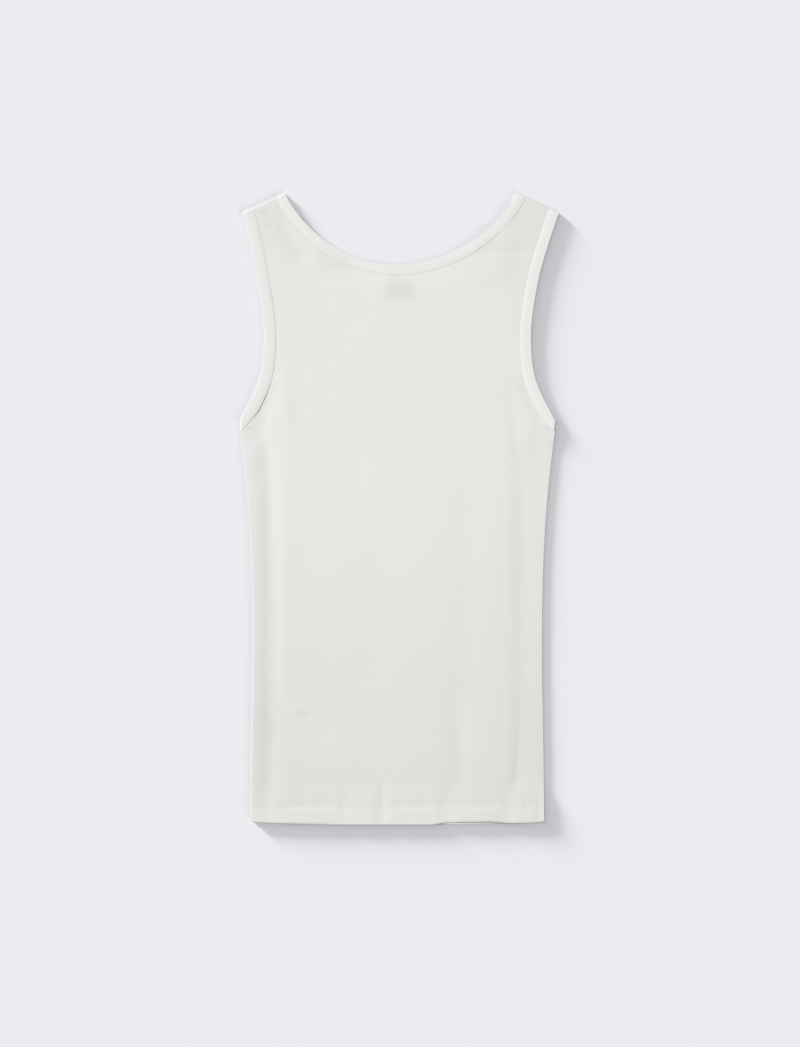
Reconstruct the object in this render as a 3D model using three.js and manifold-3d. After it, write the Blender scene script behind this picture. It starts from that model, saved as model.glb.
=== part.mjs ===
// A fitted sleeveless top in fine cotton knit, laid flat with its back up. Millimetres, +Z up.
// The pattern is drawn with X across from the centre line and Y up from the hem, and the laid
// garment is then moved so that its resting outline is centred on the origin, underside at Z 0.
import * as THREE from 'three';
import { mergeVertices } from 'three/addons/utils/BufferGeometryUtils.js';
import Module from 'manifold-3d';

const wasm = await Module();
wasm.setup();

// Cloth and seams
const CLOTH = 1.0; // wall of one layer of knit
const FOLDED_STRIP = 1.6; // a neck or armhole band, folded in two and pressed
const SEAM_GAP = 0.3; // between sewn pieces
const NECK_BAND_WIDE = 10;
const ARMHOLE_BAND_WIDE = 11;
const HEM_DEEP = 17.5; // how far the hem allowance is turned up
const HEM_FOLD = 1.2; // solid cloth along the folded hem edge
const STRIP_ROUND = { across: 0.7, half: 0.28 }; // a folded strip's outer edge
const SQUARE_OVER = 26; // the band turns square to the side seam over this much of the armhole
const SHOULDER_SEAM_DOWN = 7; // the shoulder seam lies this far down the back of the strap

// Outline of one half, each point as { half: distance from the centre line, up: from the hem }
const SIDE_SECTIONS = [
  { level: 'hem', half: 146.0, up: 0 },
  { level: 'low hip', half: 145.4, up: 70 },
  { level: 'hip', half: 143.9, up: 165 },
  { level: 'waist', half: 145.0, up: 255 },
  { level: 'ribs', half: 149.0, up: 324 },
  { level: 'chest', half: 154.6, up: 376 },
  { level: 'underarm', half: 158.3, up: 404.5 },
];
const UNDERARM = { half: 158.3, up: 404.5 };
const ARMHOLE_DEEPEST = { half: 132.9, up: 488 };
const STRAP_OUTER = { half: 158.5, up: 612 };
const STRAP_INNER = { half: 116, up: 631.5 };
const BACK_NECK_UP = 559.3;
const FRONT_NECK_UP = 478;
const HEM_BOW = 3; // the hem's corners sit this much higher than its middle

// How firmly each edge curve leaves its ends
const UNDERARM_LEAVE = { slope: 0.537, reach: 38.9 };
const ARMHOLE_BELOW_REACH = 39.2;
const ARMHOLE_ABOVE_REACH = 36.7;
const ARMHOLE_TOP_REACH = 12.6;
const BACK_NECK_REACH = { low: 52.8, high: 38 };
const FRONT_NECK_REACH = { low: 66, high: 92 };

// How it lies
const LEAN = -3; // the body lies this far to the left of the straps
const LEAN_FROM = 540;
const LEAN_TO = 612;
const LOFT = 2.2; // underside of the back cloth above the surface
const HEM_RISE = 1.7; // more at the hem, where four layers lie on each other
const HEM_RISE_OVER = 26;
const SIDE_ROLL = { crest: 7, rise: 1.0, over: 26, drop: 0.9, flatAbove: 368, flatBelow: 28 };
const NECK_SAG = { deep: 1.4, from: 535, to: 560, fullTo: 40, goneAt: 90 };
const FOLD_END = 0.18; // share of a fold's length over which it fades at each end

// The largest soft troughs (rise below 0) and ridges, between two points of the pattern
const FOLDS = [
  { name: 'left side trough', x1: -132, y1: 350, x2: -131, y2: 45, wide: 9, rise: -0.9 },
  { name: 'left side ridge', x1: -120, y1: 400, x2: -117, y2: 110, wide: 13, rise: 0.9 },
  { name: 'right side trough', x1: 124, y1: 385, x2: 118, y2: 48, wide: 10, rise: -0.8 },
  { name: 'right back trough', x1: 66, y1: 330, x2: 60, y2: 50, wide: 22, rise: -0.5 },
  { name: 'left underarm fold', x1: -126, y1: 432, x2: -148, y2: 372, wide: 8, rise: -0.8 },
  { name: 'left strap fold', x1: -124, y1: 592, x2: -72, y2: 556, wide: 8, rise: -0.3 },
];

// Blank label tacked under the neck band
const LABEL = { centre: 2, wide: 33, top: 547, tall: 24 };

// Fineness of the faceted surface
const COLUMNS_FROM_SIDE = [-4, 0, 3, 7, 12, 18, 26, 34, 46, 62, 84, 112];
const ROWS = [-4, 6, 17.5, 30, 44];
const ROW_STEP = 22;
const ROWS_END = 640;
const EDGE_STATIONS = 24; // along one half of an armhole or neck edge
const FOLD_STATIONS = 5; // round a folded-over strap or side
const SIDE_POINTS = 18;
const HEM_POINTS = 12;
const WELD = 1e-4;

const smooth = THREE.MathUtils.smoothstep;
const at = (point) => new THREE.Vector2(point.half, point.up);

// ---- Edge curves of the right half of the pattern ----

const strapTop = at(STRAP_INNER).sub(at(STRAP_OUTER)).normalize(); // from armhole to neck
const strapUp = new THREE.Vector2(strapTop.y, -strapTop.x); // out of the strap's folded end
const sideDown = at(SIDE_SECTIONS.at(-2)).sub(at(UNDERARM)).normalize();
const sideOut = new THREE.Vector2(-sideDown.y, sideDown.x);

const FOLD_RADIUS = (LOFT + CLOTH / 2 - FOLDED_STRIP / 2) / 2; // of a band's middle at a fold
const FOLD_REACH = FOLD_RADIUS + FOLDED_STRIP / 2; // so a fold stands this far out of its axis

const strapOuterFold = at(STRAP_OUTER).addScaledVector(strapUp, -FOLD_REACH);
const strapInnerFold = at(STRAP_INNER).addScaledVector(strapUp, -FOLD_REACH);
const underarmFold = at(UNDERARM).addScaledVector(sideOut, -FOLD_REACH);

function armholeCurve() {
  const deepest = at(ARMHOLE_DEEPEST);
  const leave = new THREE.Vector2(-UNDERARM_LEAVE.slope, 1).setLength(UNDERARM_LEAVE.reach);
  const below = new THREE.CubicBezierCurve(
    underarmFold,
    underarmFold.clone().add(leave),
    new THREE.Vector2(deepest.x, deepest.y - ARMHOLE_BELOW_REACH),
    deepest,
  );
  const above = new THREE.CubicBezierCurve(
    deepest,
    new THREE.Vector2(deepest.x, deepest.y + ARMHOLE_ABOVE_REACH),
    strapOuterFold.clone().addScaledVector(strapUp, -ARMHOLE_TOP_REACH),
    strapOuterFold,
  );
  const whole = new THREE.CurvePath();
  whole.add(below);
  whole.add(above);
  return whole;
}

function neckCurve(lowest, reach) {
  return new THREE.CubicBezierCurve(
    new THREE.Vector2(0, lowest),
    new THREE.Vector2(reach.low, lowest),
    strapInnerFold.clone().addScaledVector(strapUp, -reach.high),
    strapInnerFold,
  );
}

// Stations along an edge: where it is, and which way the cloth lies from it.
// `turn` is +1 when the cloth lies left of the way the curve runs, -1 when right.
function stationsOf(curve, turn) {
  const stations = [];
  for (let i = 0; i <= EDGE_STATIONS; i += 1) {
    const along = i / EDGE_STATIONS;
    const tangent = curve.getTangentAt(along);
    stations.push({
      edge: curve.getPointAt(along),
      inward: new THREE.Vector2(-tangent.y, tangent.x).multiplyScalar(turn),
    });
  }
  return stations;
}

// The band's end at the underarm is cut square to the side seam.
function squareToSide(stations) {
  for (const station of stations) {
    const near = 1 - smooth(station.edge.distanceTo(underarmFold), 0, SQUARE_OVER);
    station.inward.lerp(sideDown, near).normalize();
  }
  return stations;
}

const armholeEdge = squareToSide(stationsOf(armholeCurve(), 1));
const backNeckEdge = stationsOf(neckCurve(BACK_NECK_UP, BACK_NECK_REACH), -1);
const frontNeckEdge = stationsOf(neckCurve(FRONT_NECK_UP, FRONT_NECK_REACH), -1);

const sidePoints = new THREE.SplineCurve(SIDE_SECTIONS.map(at)).getPoints(SIDE_POINTS);

function halfWide(up) {
  const next = sidePoints.findIndex((point) => point.y >= up);
  if (next === -1) return UNDERARM.half;
  if (next === 0) return sidePoints[0].x;
  const [low, high] = [sidePoints[next - 1], sidePoints[next]];
  return THREE.MathUtils.mapLinear(up, low.y, high.y, low.x, high.x);
}

function hemLine(x) {
  return HEM_BOW * (x / SIDE_SECTIONS[0].half) ** 4;
}

// ---- Height of the upper cloth as it lies ----

function foldHeight(fold, x, y) {
  const run = new THREE.Vector2(fold.x2 - fold.x1, fold.y2 - fold.y1);
  const length = run.length();
  run.normalize();
  const from = new THREE.Vector2(x - fold.x1, y - fold.y1);
  const along = from.dot(run) / length;
  const across = from.cross(run) / fold.wide;
  const ends = smooth(along, -FOLD_END, FOLD_END) * smooth(1 - along, -FOLD_END, FOLD_END);
  return fold.rise * ends * Math.exp(-across * across);
}

function sideRollHeight(x, y) {
  const inFromSide = Math.max(halfWide(y) - Math.abs(x), 0);
  const up = smooth(inFromSide, 0, SIDE_ROLL.crest);
  const down = 1 - smooth(inFromSide, SIDE_ROLL.crest, SIDE_ROLL.over);
  const rolled = (SIDE_ROLL.rise + SIDE_ROLL.drop) * up - SIDE_ROLL.drop;
  const height = inFromSide < SIDE_ROLL.crest ? rolled : SIDE_ROLL.rise * down;
  const below = smooth(y, SIDE_ROLL.flatBelow, SIDE_ROLL.flatBelow + HEM_RISE_OVER);
  const above = 1 - smooth(y, SIDE_ROLL.flatAbove, UNDERARM.up - ARMHOLE_BAND_WIDE);
  return height * below * above;
}

// How far the back neck sags where no front cloth lies under it
function neckSag(x, y) {
  const sagDown = smooth(y, NECK_SAG.from, NECK_SAG.to);
  return NECK_SAG.deep * sagDown * (1 - smooth(Math.abs(x), NECK_SAG.fullTo, NECK_SAG.goneAt));
}

const hemRise = (y) => HEM_RISE * (1 - smooth(y, HEM_DEEP, HEM_DEEP + HEM_RISE_OVER));

// Underside of the back cloth above the surface, never lower than the front cloth it lies on
function backLevel(x, y) {
  let level = LOFT + hemRise(y) + sideRollHeight(x, y);
  for (const fold of FOLDS) level += foldHeight(fold, x, y);
  return Math.max(level, CLOTH + SEAM_GAP) - neckSag(x, y);
}

// ---- Solids ----

function toSolid(geometry) {
  const loose = new THREE.BufferGeometry();
  const flat = geometry.index ? geometry.toNonIndexed() : geometry;
  loose.setAttribute('position', flat.getAttribute('position'));
  const merged = mergeVertices(loose, WELD);
  return new wasm.Manifold(
    new wasm.Mesh({
      numProp: 3,
      vertProperties: merged.attributes.position.array,
      triVerts: new Uint32Array(merged.index.array),
    }),
  );
}

function prism(points, low, high) {
  const shape = new THREE.Shape(points);
  const geometry = new THREE.ExtrudeGeometry(shape, { depth: high - low, bevelEnabled: false });
  geometry.translate(0, 0, low);
  return toSolid(geometry);
}

function indexedSolid(positions, triangles) {
  const geometry = new THREE.BufferGeometry();
  geometry.setAttribute('position', new THREE.Float32BufferAttribute(positions, 3));
  geometry.setIndex(triangles);
  const solid = toSolid(geometry);
  if (solid.volume() >= 0) return solid;
  const turned = [];
  for (let i = 0; i < triangles.length; i += 3) {
    turned.push(triangles[i], triangles[i + 2], triangles[i + 1]);
  }
  geometry.setIndex(turned);
  return toSolid(geometry);
}

// A quad between four corner numbers, as two triangles
function quad(triangles, a, b, c, d) {
  triangles.push(a, b, c, a, c, d);
}

// Joins rings of points, each ring an array of Vector3 of one length, into a closed solid.
// A looped run of rings closes on itself; any other run is capped at both ends.
function ringSolid(rings, looped) {
  const count = rings[0].length;
  const triangles = [];
  const last = looped ? rings.length : rings.length - 1;
  for (let r = 0; r < last; r += 1) {
    const here = r * count;
    const next = ((r + 1) % rings.length) * count;
    for (let k = 0; k < count; k += 1) {
      const other = (k + 1) % count;
      quad(triangles, here + k, here + other, next + other, next + k);
    }
  }
  if (!looped) {
    const end = (rings.length - 1) * count;
    for (let k = 1; k < count - 1; k += 1) {
      triangles.push(0, k + 1, k);
      triangles.push(end, end + k, end + k + 1);
    }
  }
  return indexedSolid(rings.flat().flatMap((point) => point.toArray()), triangles);
}

const rowLevels = [...ROWS];
while (rowLevels.at(-1) < ROWS_END) rowLevels.push(rowLevels.at(-1) + ROW_STEP);

// The upper cloth's whole sheet, from `under` to `over` of its own underside, before it is cut out
function clothSheet(under, over) {
  const rings = rowLevels.map((y) => {
    const right = COLUMNS_FROM_SIDE.map((fromSide) => halfWide(y) - fromSide);
    const across = [...right.map((x) => -x), 0, ...[...right].reverse()];
    const low = across.map((x) => new THREE.Vector3(x, y, backLevel(x, y) + under));
    const high = across.map((x) => new THREE.Vector3(x, y, backLevel(x, y) + over));
    return [...low, ...high.reverse()];
  });
  return sheetSolid(rings);
}

// Rings of a sheet run along its underside and back along its top, so its ends are strips. Both
// faces split their quads along the same corners, so that the wall stays even.
function sheetSolid(rings) {
  const count = rings[0].length;
  const triangles = [];
  for (let r = 0; r < rings.length - 1; r += 1) {
    for (let k = 0; k < count; k += 1) {
      const other = (k + 1) % count;
      const [here, next] = [r * count, (r + 1) * count];
      if (k < count / 2) quad(triangles, here + k, here + other, next + other, next + k);
      else quad(triangles, here + other, next + other, next + k, here + k);
    }
  }
  const end = (rings.length - 1) * count;
  for (let k = 0; k < count / 2 - 1; k += 1) {
    quad(triangles, k + 1, k, count - 1 - k, count - 2 - k);
    quad(triangles, end + k, end + k + 1, end + count - 2 - k, end + count - 1 - k);
  }
  return indexedSolid(rings.flat().flatMap((point) => point.toArray()), triangles);
}

// ---- Outlines of the panels ----

const insetOf = (stations, inset) =>
  stations.map(({ edge, inward }) => edge.clone().addScaledVector(inward, inset));
const mirrored = (points) => points.map((point) => new THREE.Vector2(-point.x, point.y));

const armholeInset = insetOf(armholeEdge, ARMHOLE_BAND_WIDE + SEAM_GAP);

function hemPoints(raised) {
  const points = [];
  for (let i = 0; i < HEM_POINTS; i += 1) {
    const x = (SIDE_SECTIONS[0].half * i) / HEM_POINTS;
    points.push(new THREE.Vector2(x, hemLine(x) + raised));
  }
  return points;
}

// The whole panel inside its bands, straps ending at their fold axis
function panelOutline(neckEdge) {
  const neckInset = insetOf(neckEdge, NECK_BAND_WIDE + SEAM_GAP);
  const sideEnd = at(UNDERARM).addScaledVector(sideDown, ARMHOLE_BAND_WIDE + SEAM_GAP);
  const side = sidePoints
    .filter((point) => point.y < sideEnd.y - 1)
    .map((point) => new THREE.Vector2(point.x, Math.max(point.y, hemLine(point.x))));
  const right = [
    ...hemPoints(0),
    ...side,
    sideEnd,
    ...armholeInset,
    ...[...neckInset].reverse().slice(0, -1),
  ];
  const left = mirrored(right.slice(1)).reverse();
  return [...right, neckInset[0], ...left];
}

const everywhere = 400; // reaches past every edge of the pattern
const band = (low, high) => [
  new THREE.Vector2(-everywhere, low),
  new THREE.Vector2(everywhere, low),
  new THREE.Vector2(everywhere, high),
  new THREE.Vector2(-everywhere, high),
];

// The hem above its fold, where the turned-up layer lies free of the panel
function insideHemFold() {
  const right = hemPoints(HEM_FOLD).slice(1);
  const low = [...mirrored(right).reverse(), new THREE.Vector2(0, HEM_FOLD), ...right];
  return [
    new THREE.Vector2(-everywhere, HEM_BOW + HEM_FOLD),
    ...low,
    new THREE.Vector2(everywhere, HEM_BOW + HEM_FOLD),
    new THREE.Vector2(everywhere, HEM_DEEP + HEM_FOLD),
    new THREE.Vector2(-everywhere, HEM_DEEP + HEM_FOLD),
  ];
}

// One strap's end: all that lies within `down` of its fold axis and up to `past` beyond it
function strapEnd(side, down, past) {
  const corners = [
    strapOuterFold.clone().addScaledVector(strapTop, -NECK_BAND_WIDE),
    strapInnerFold.clone().addScaledVector(strapTop, NECK_BAND_WIDE),
  ];
  const low = corners.map((corner) => corner.clone().addScaledVector(strapUp, -down));
  const high = corners.map((corner) => corner.clone().addScaledVector(strapUp, past));
  const outline = [low[0], high[0], high[1], low[1]];
  return side > 0 ? outline : mirrored(outline).reverse();
}

// ---- Bands ----

// A folded strip's section: across from its outer folded edge, and through its thickness
function stripSection(wide) {
  const half = FOLDED_STRIP / 2;
  return [
    { across: 0, through: STRIP_ROUND.half },
    { across: STRIP_ROUND.across, through: half },
    { across: wide, through: half },
    { across: wide, through: -half },
    { across: STRIP_ROUND.across, through: -half },
    { across: 0, through: -STRIP_ROUND.half },
  ];
}

const bandMiddle = (x, y) => LOFT + CLOTH / 2 - neckSag(x, y);

// One ring of a band. `lean` is 0 on the upper layer, half a turn on the lower one, and between
// them where the band goes over a fold whose outward way is `out`.
function bandRing(section, edge, inward, out, lean) {
  const flat = Math.abs(Math.sin(lean)) < WELD;
  const upper = flat && Math.cos(lean) > 0;
  const foldMiddle = FOLDED_STRIP / 2 + FOLD_RADIUS;
  return section.map(({ across, through }) => {
    const x = edge.x + inward.x * across + out.x * Math.sin(lean) * (FOLD_RADIUS + through);
    const y = edge.y + inward.y * across + out.y * Math.sin(lean) * (FOLD_RADIUS + through);
    const folded = foldMiddle + Math.cos(lean) * (FOLD_RADIUS + through);
    return new THREE.Vector3(x, y, upper ? bandMiddle(x, y) + through : folded);
  });
}

// The rings of one flat layer, which goes over no fold
const layerRings = (section, stations, lean) =>
  stations.map(({ edge, inward }) => bandRing(section, edge, inward, { x: 0, y: 0 }, lean));

function foldRings(section, station, out, from) {
  const rings = [];
  for (let i = 1; i <= FOLD_STATIONS; i += 1) {
    const lean = from + (Math.PI * i) / (FOLD_STATIONS + 1);
    rings.push(bandRing(section, station.edge, station.inward, out, lean));
  }
  return rings;
}

const flip = (stations, side) =>
  stations.map(({ edge, inward }) => ({
    edge: new THREE.Vector2(edge.x * side, edge.y),
    inward: new THREE.Vector2(inward.x * side, inward.y),
  }));

// Up the back of the armhole, over the strap, down the front and round under the arm
function armholeBand(side) {
  const section = stripSection(ARMHOLE_BAND_WIDE);
  const back = flip(armholeEdge, side);
  const front = [...back].reverse();
  const strapOut = new THREE.Vector2(strapUp.x * side, strapUp.y);
  const armOut = new THREE.Vector2(-sideOut.x * side, -sideOut.y);
  return ringSolid(
    [
      ...layerRings(section, back, 0),
      ...foldRings(section, back.at(-1), strapOut, 0),
      ...layerRings(section, front, Math.PI),
      ...foldRings(section, back[0], armOut, Math.PI),
    ],
    true,
  );
}

// Across the back neck, over one strap, round the front scoop and over the other strap
function neckBand() {
  const section = stripSection(NECK_BAND_WIDE);
  const acrossNeck = (edge) => [...flip(edge, -1).reverse().slice(0, -1), ...edge];
  const back = acrossNeck(backNeckEdge);
  const front = acrossNeck(frontNeckEdge).reverse();
  const leftOut = new THREE.Vector2(strapUp.x, -strapUp.y);
  return ringSolid(
    [
      ...layerRings(section, back, 0),
      ...foldRings(section, back.at(-1), strapUp, 0),
      ...layerRings(section, front, Math.PI),
      ...foldRings(section, back[0], leftOut, Math.PI),
    ],
    true,
  );
}

// ---- Panels ----

const seamDown = SHOULDER_SEAM_DOWN - FOLD_REACH; // shoulder seam below the strap's fold axis
const hemUnder = -(SEAM_GAP + CLOTH); // the turned-up layer's far face, from the panel's near one

function backPanel() {
  const outline = prism(panelOutline(backNeckEdge), -everywhere, everywhere);
  let panel = clothSheet(hemUnder, CLOTH).intersect(outline);
  const overHem = prism(band(HEM_DEEP, everywhere * 2), -everywhere, everywhere);
  const inHem = prism(insideHemFold(), -everywhere, everywhere);
  const below = clothSheet(-everywhere, 0).intersect(overHem);
  const slit = clothSheet(-SEAM_GAP, 0).intersect(inHem);
  panel = panel.subtract(below.add(slit));
  for (const side of [1, -1]) {
    const end = prism(strapEnd(side, seamDown + SEAM_GAP, everywhere / 4), -everywhere, everywhere);
    panel = panel.subtract(end);
  }
  return panel;
}

// The front strap's cloth going over the fold, as rings from the lower layer to the upper one
function strapOverFold(side) {
  const middle = (LOFT + CLOTH) / 2;
  const radius = LOFT / 2;
  const tuck = 0.5; // runs this far into each flat layer, so that they join
  const wide = [
    strapOuterFold.clone().addScaledVector(strapTop, ARMHOLE_BAND_WIDE + SEAM_GAP),
    strapInnerFold.clone().addScaledVector(strapTop, -(NECK_BAND_WIDE + SEAM_GAP)),
  ];
  const ring = (lean, back) =>
    [-CLOTH / 2, CLOTH / 2].flatMap((through, row) => {
      const ends = row === 0 ? wide : [...wide].reverse();
      return ends.map((end) => {
        const out = Math.sin(lean) * (radius + through) - back;
        const point = end.clone().addScaledVector(strapUp, out);
        return new THREE.Vector3(point.x * side, point.y, middle + Math.cos(lean) * (radius + through));
      });
    });
  const rings = [ring(0, tuck)];
  for (let i = 0; i <= FOLD_STATIONS + 1; i += 1) {
    rings.push(ring((Math.PI * i) / (FOLD_STATIONS + 1), 0));
  }
  rings.push(ring(Math.PI, tuck));
  return ringSolid(rings, false);
}

function frontPanel() {
  const outline = panelOutline(frontNeckEdge);
  const turnedUp = CLOTH + SEAM_GAP + CLOTH;
  let panel = prism(outline, 0, turnedUp);
  panel = panel.subtract(prism(band(HEM_DEEP, everywhere * 2), CLOTH, everywhere));
  panel = panel.subtract(prism(insideHemFold(), CLOTH, CLOTH + SEAM_GAP));
  const upper = clothSheet(0, CLOTH).intersect(prism(outline, -everywhere, everywhere));
  for (const side of [1, -1]) {
    const end = prism(strapEnd(side, seamDown, 1), -everywhere, everywhere);
    panel = panel.add(upper.intersect(end)).add(strapOverFold(side));
  }
  return panel;
}

function neckLabel() {
  const left = LABEL.centre - LABEL.wide / 2;
  const right = LABEL.centre + LABEL.wide / 2;
  const outline = [
    new THREE.Vector2(left, LABEL.top - LABEL.tall),
    new THREE.Vector2(right, LABEL.top - LABEL.tall),
    new THREE.Vector2(right, LABEL.top),
    new THREE.Vector2(left, LABEL.top),
  ];
  return clothSheet(hemUnder, -SEAM_GAP).intersect(prism(outline, -everywhere, everywhere));
}

// ---- The garment ----

// Moves the body to the left of the straps, as it lies
function lay(geometry) {
  const place = geometry.getAttribute('position');
  for (let i = 0; i < place.count; i += 1) {
    place.setX(i, place.getX(i) + LEAN * (1 - smooth(place.getY(i), LEAN_FROM, LEAN_TO)));
  }
}

function meshOf(name, solid, colour, roughness) {
  const made = solid.getMesh();
  const geometry = new THREE.BufferGeometry();
  geometry.setAttribute('position', new THREE.Float32BufferAttribute(made.vertProperties, 3));
  geometry.setIndex(new THREE.Uint32BufferAttribute(made.triVerts, 1));
  lay(geometry);
  geometry.computeVertexNormals();
  const material = new THREE.MeshStandardMaterial({ color: colour, roughness, metalness: 0 });
  const mesh = new THREE.Mesh(geometry, material);
  mesh.name = name;
  return mesh;
}

const KNIT = '#e7e7e3';
const BAND_KNIT = '#e9e9e6';
const LABEL_TAPE = '#dededb';

const garment = new THREE.Group();
garment.add(meshOf('back_panel', backPanel(), KNIT, 0.9));
garment.add(meshOf('front_panel', frontPanel(), KNIT, 0.9));
garment.add(meshOf('neck_band', neckBand(), BAND_KNIT, 0.88));
garment.add(meshOf('left_armhole_band', armholeBand(-1), BAND_KNIT, 0.88));
garment.add(meshOf('right_armhole_band', armholeBand(1), BAND_KNIT, 0.88));
garment.add(meshOf('neck_label', neckLabel(), LABEL_TAPE, 0.7));

const extent = new THREE.Box3().setFromObject(garment);
const centre = extent.getCenter(new THREE.Vector3());
for (const mesh of garment.children) mesh.geometry.translate(-centre.x, -centre.y, -extent.min.z);

export default garment;
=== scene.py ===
"""A fitted tank top in fine cotton knit, laid flat on a pale table with its back up.

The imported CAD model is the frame. Every soft piece here stands in the place of its CAD node and is
drawn from the same pattern: the back and front cloths, the folded bands round the neck and the
armholes, the blank label, and the sewing. Pattern sizes are in millimetres, across from the
centre line and up from the hem; Placement.place() turns them into metres in the frame.
"""

import logging
import math
from dataclasses import dataclass, field
from enum import Enum

import bpy
import numpy as np
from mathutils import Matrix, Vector
from mathutils.geometry import delaunay_2d_cdt


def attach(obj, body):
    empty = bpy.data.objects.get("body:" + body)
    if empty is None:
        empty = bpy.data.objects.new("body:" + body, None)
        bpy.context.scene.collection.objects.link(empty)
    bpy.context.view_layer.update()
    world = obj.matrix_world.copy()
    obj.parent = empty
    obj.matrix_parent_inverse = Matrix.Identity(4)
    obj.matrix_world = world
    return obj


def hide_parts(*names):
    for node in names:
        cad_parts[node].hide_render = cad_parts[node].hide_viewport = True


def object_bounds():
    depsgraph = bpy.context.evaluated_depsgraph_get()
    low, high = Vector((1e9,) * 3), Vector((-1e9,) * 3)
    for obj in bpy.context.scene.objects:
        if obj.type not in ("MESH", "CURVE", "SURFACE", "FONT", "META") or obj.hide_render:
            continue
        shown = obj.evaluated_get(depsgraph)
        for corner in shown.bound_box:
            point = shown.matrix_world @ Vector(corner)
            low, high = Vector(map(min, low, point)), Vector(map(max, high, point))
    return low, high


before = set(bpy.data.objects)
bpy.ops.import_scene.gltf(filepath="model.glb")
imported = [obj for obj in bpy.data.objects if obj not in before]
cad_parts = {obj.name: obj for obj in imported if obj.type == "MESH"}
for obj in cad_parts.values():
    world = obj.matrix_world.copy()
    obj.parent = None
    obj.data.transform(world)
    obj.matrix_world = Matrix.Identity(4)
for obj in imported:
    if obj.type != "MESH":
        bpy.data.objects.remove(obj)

MM = 0.001
CAD_BOX = [tuple(corner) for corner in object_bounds()]
BODY = "root"
CUT = "cut_mm"
NOISE_CELLS = 64
NOISE_START = (31.3, 17.7)
RIM_BULGE = 0.5
LINE_CHUNK = 64

log = logging.getLogger("tank_top")


class Slot(Enum):
    """Material slots of the record."""

    BODY_KNIT = "body_knit"
    BAND_KNIT = "band_knit"
    LABEL_TAPE = "label_tape"


# ---------------------------------------------------------------- small helpers


def smoothstep(value: np.ndarray, low: float, high: float) -> np.ndarray:
    """Eases from 0 at low to 1 at high.

    Args:
        value: Where to read the ease.
        low: Value at and below which it is 0.
        high: Value at and above which it is 1.

    Returns:
        The eased share at each value.
    """
    share = np.clip((np.asarray(value, float) - low) / (high - low), 0.0, 1.0)
    return share * share * (3.0 - 2.0 * share)


def unit(vectors: np.ndarray) -> np.ndarray:
    """Scales each row to length 1."""
    return vectors / np.maximum(np.linalg.norm(vectors, axis=-1, keepdims=True), 1e-12)


def soft_noise(
    x: np.ndarray, y: np.ndarray, cell_x: float, cell_y: float, seed: int
) -> np.ndarray:
    """Reads a smooth random surface between about -1 and 1.

    Args:
        x: Across.
        y: Up.
        cell_x: How wide its waves are.
        cell_y: How tall they are.
        seed: Which surface.

    Returns:
        Its value at each point.
    """
    lattice = np.random.RandomState(seed).uniform(-1.0, 1.0, (NOISE_CELLS, NOISE_CELLS))
    u = np.asarray(x) / cell_x + NOISE_START[0]
    v = np.asarray(y) / cell_y + NOISE_START[1]
    i, j = np.floor(u).astype(int), np.floor(v).astype(int)
    fu, fv = smoothstep(u - i, 0, 1), smoothstep(v - j, 0, 1)
    left, right = i % NOISE_CELLS, (i + 1) % NOISE_CELLS
    below, above = j % NOISE_CELLS, (j + 1) % NOISE_CELLS
    low = lattice[left, below] * (1 - fu) + lattice[right, below] * fu
    high = lattice[left, above] * (1 - fu) + lattice[right, above] * fu
    return low * (1 - fv) + high * fv


def bezier(corners: list[tuple[float, float]], count: int = 200) -> np.ndarray:
    """Samples a cubic curve.

    Args:
        corners: Its four control points.
        count: How many samples.

    Returns:
        The samples, in order, as rows of x and y.
    """
    t = np.linspace(0.0, 1.0, count)[:, None]
    a, b, c, d = (np.asarray(corner, float) for corner in corners)
    return (1 - t) ** 3 * a + 3 * (1 - t) ** 2 * t * b + 3 * (1 - t) * t**2 * c + t**3 * d


def lengths_along(points: np.ndarray) -> np.ndarray:
    """Returns how far along a polyline each of its points is."""
    steps = np.linalg.norm(np.diff(points, axis=0), axis=1)
    return np.concatenate([[0.0], np.cumsum(steps)])


def hand(mirror: bool) -> tuple[str, np.ndarray]:
    """Returns the word for one side, and what turns the right side's points into it."""
    return ("left", np.array([-1.0, 1.0])) if mirror else ("right", np.array([1.0, 1.0]))


def even_steps(points: np.ndarray, step: float) -> np.ndarray:
    """Samples a polyline again at even steps.

    Args:
        points: The polyline, as rows.
        step: About how far apart the new points are.

    Returns:
        New points from its start to its end.
    """
    along = lengths_along(points)
    count = max(2, int(round(along[-1] / step)) + 1)
    wanted = np.linspace(0.0, along[-1], count)
    return np.stack([np.interp(wanted, along, points[:, k]) for k in range(points.shape[1])], 1)


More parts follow.
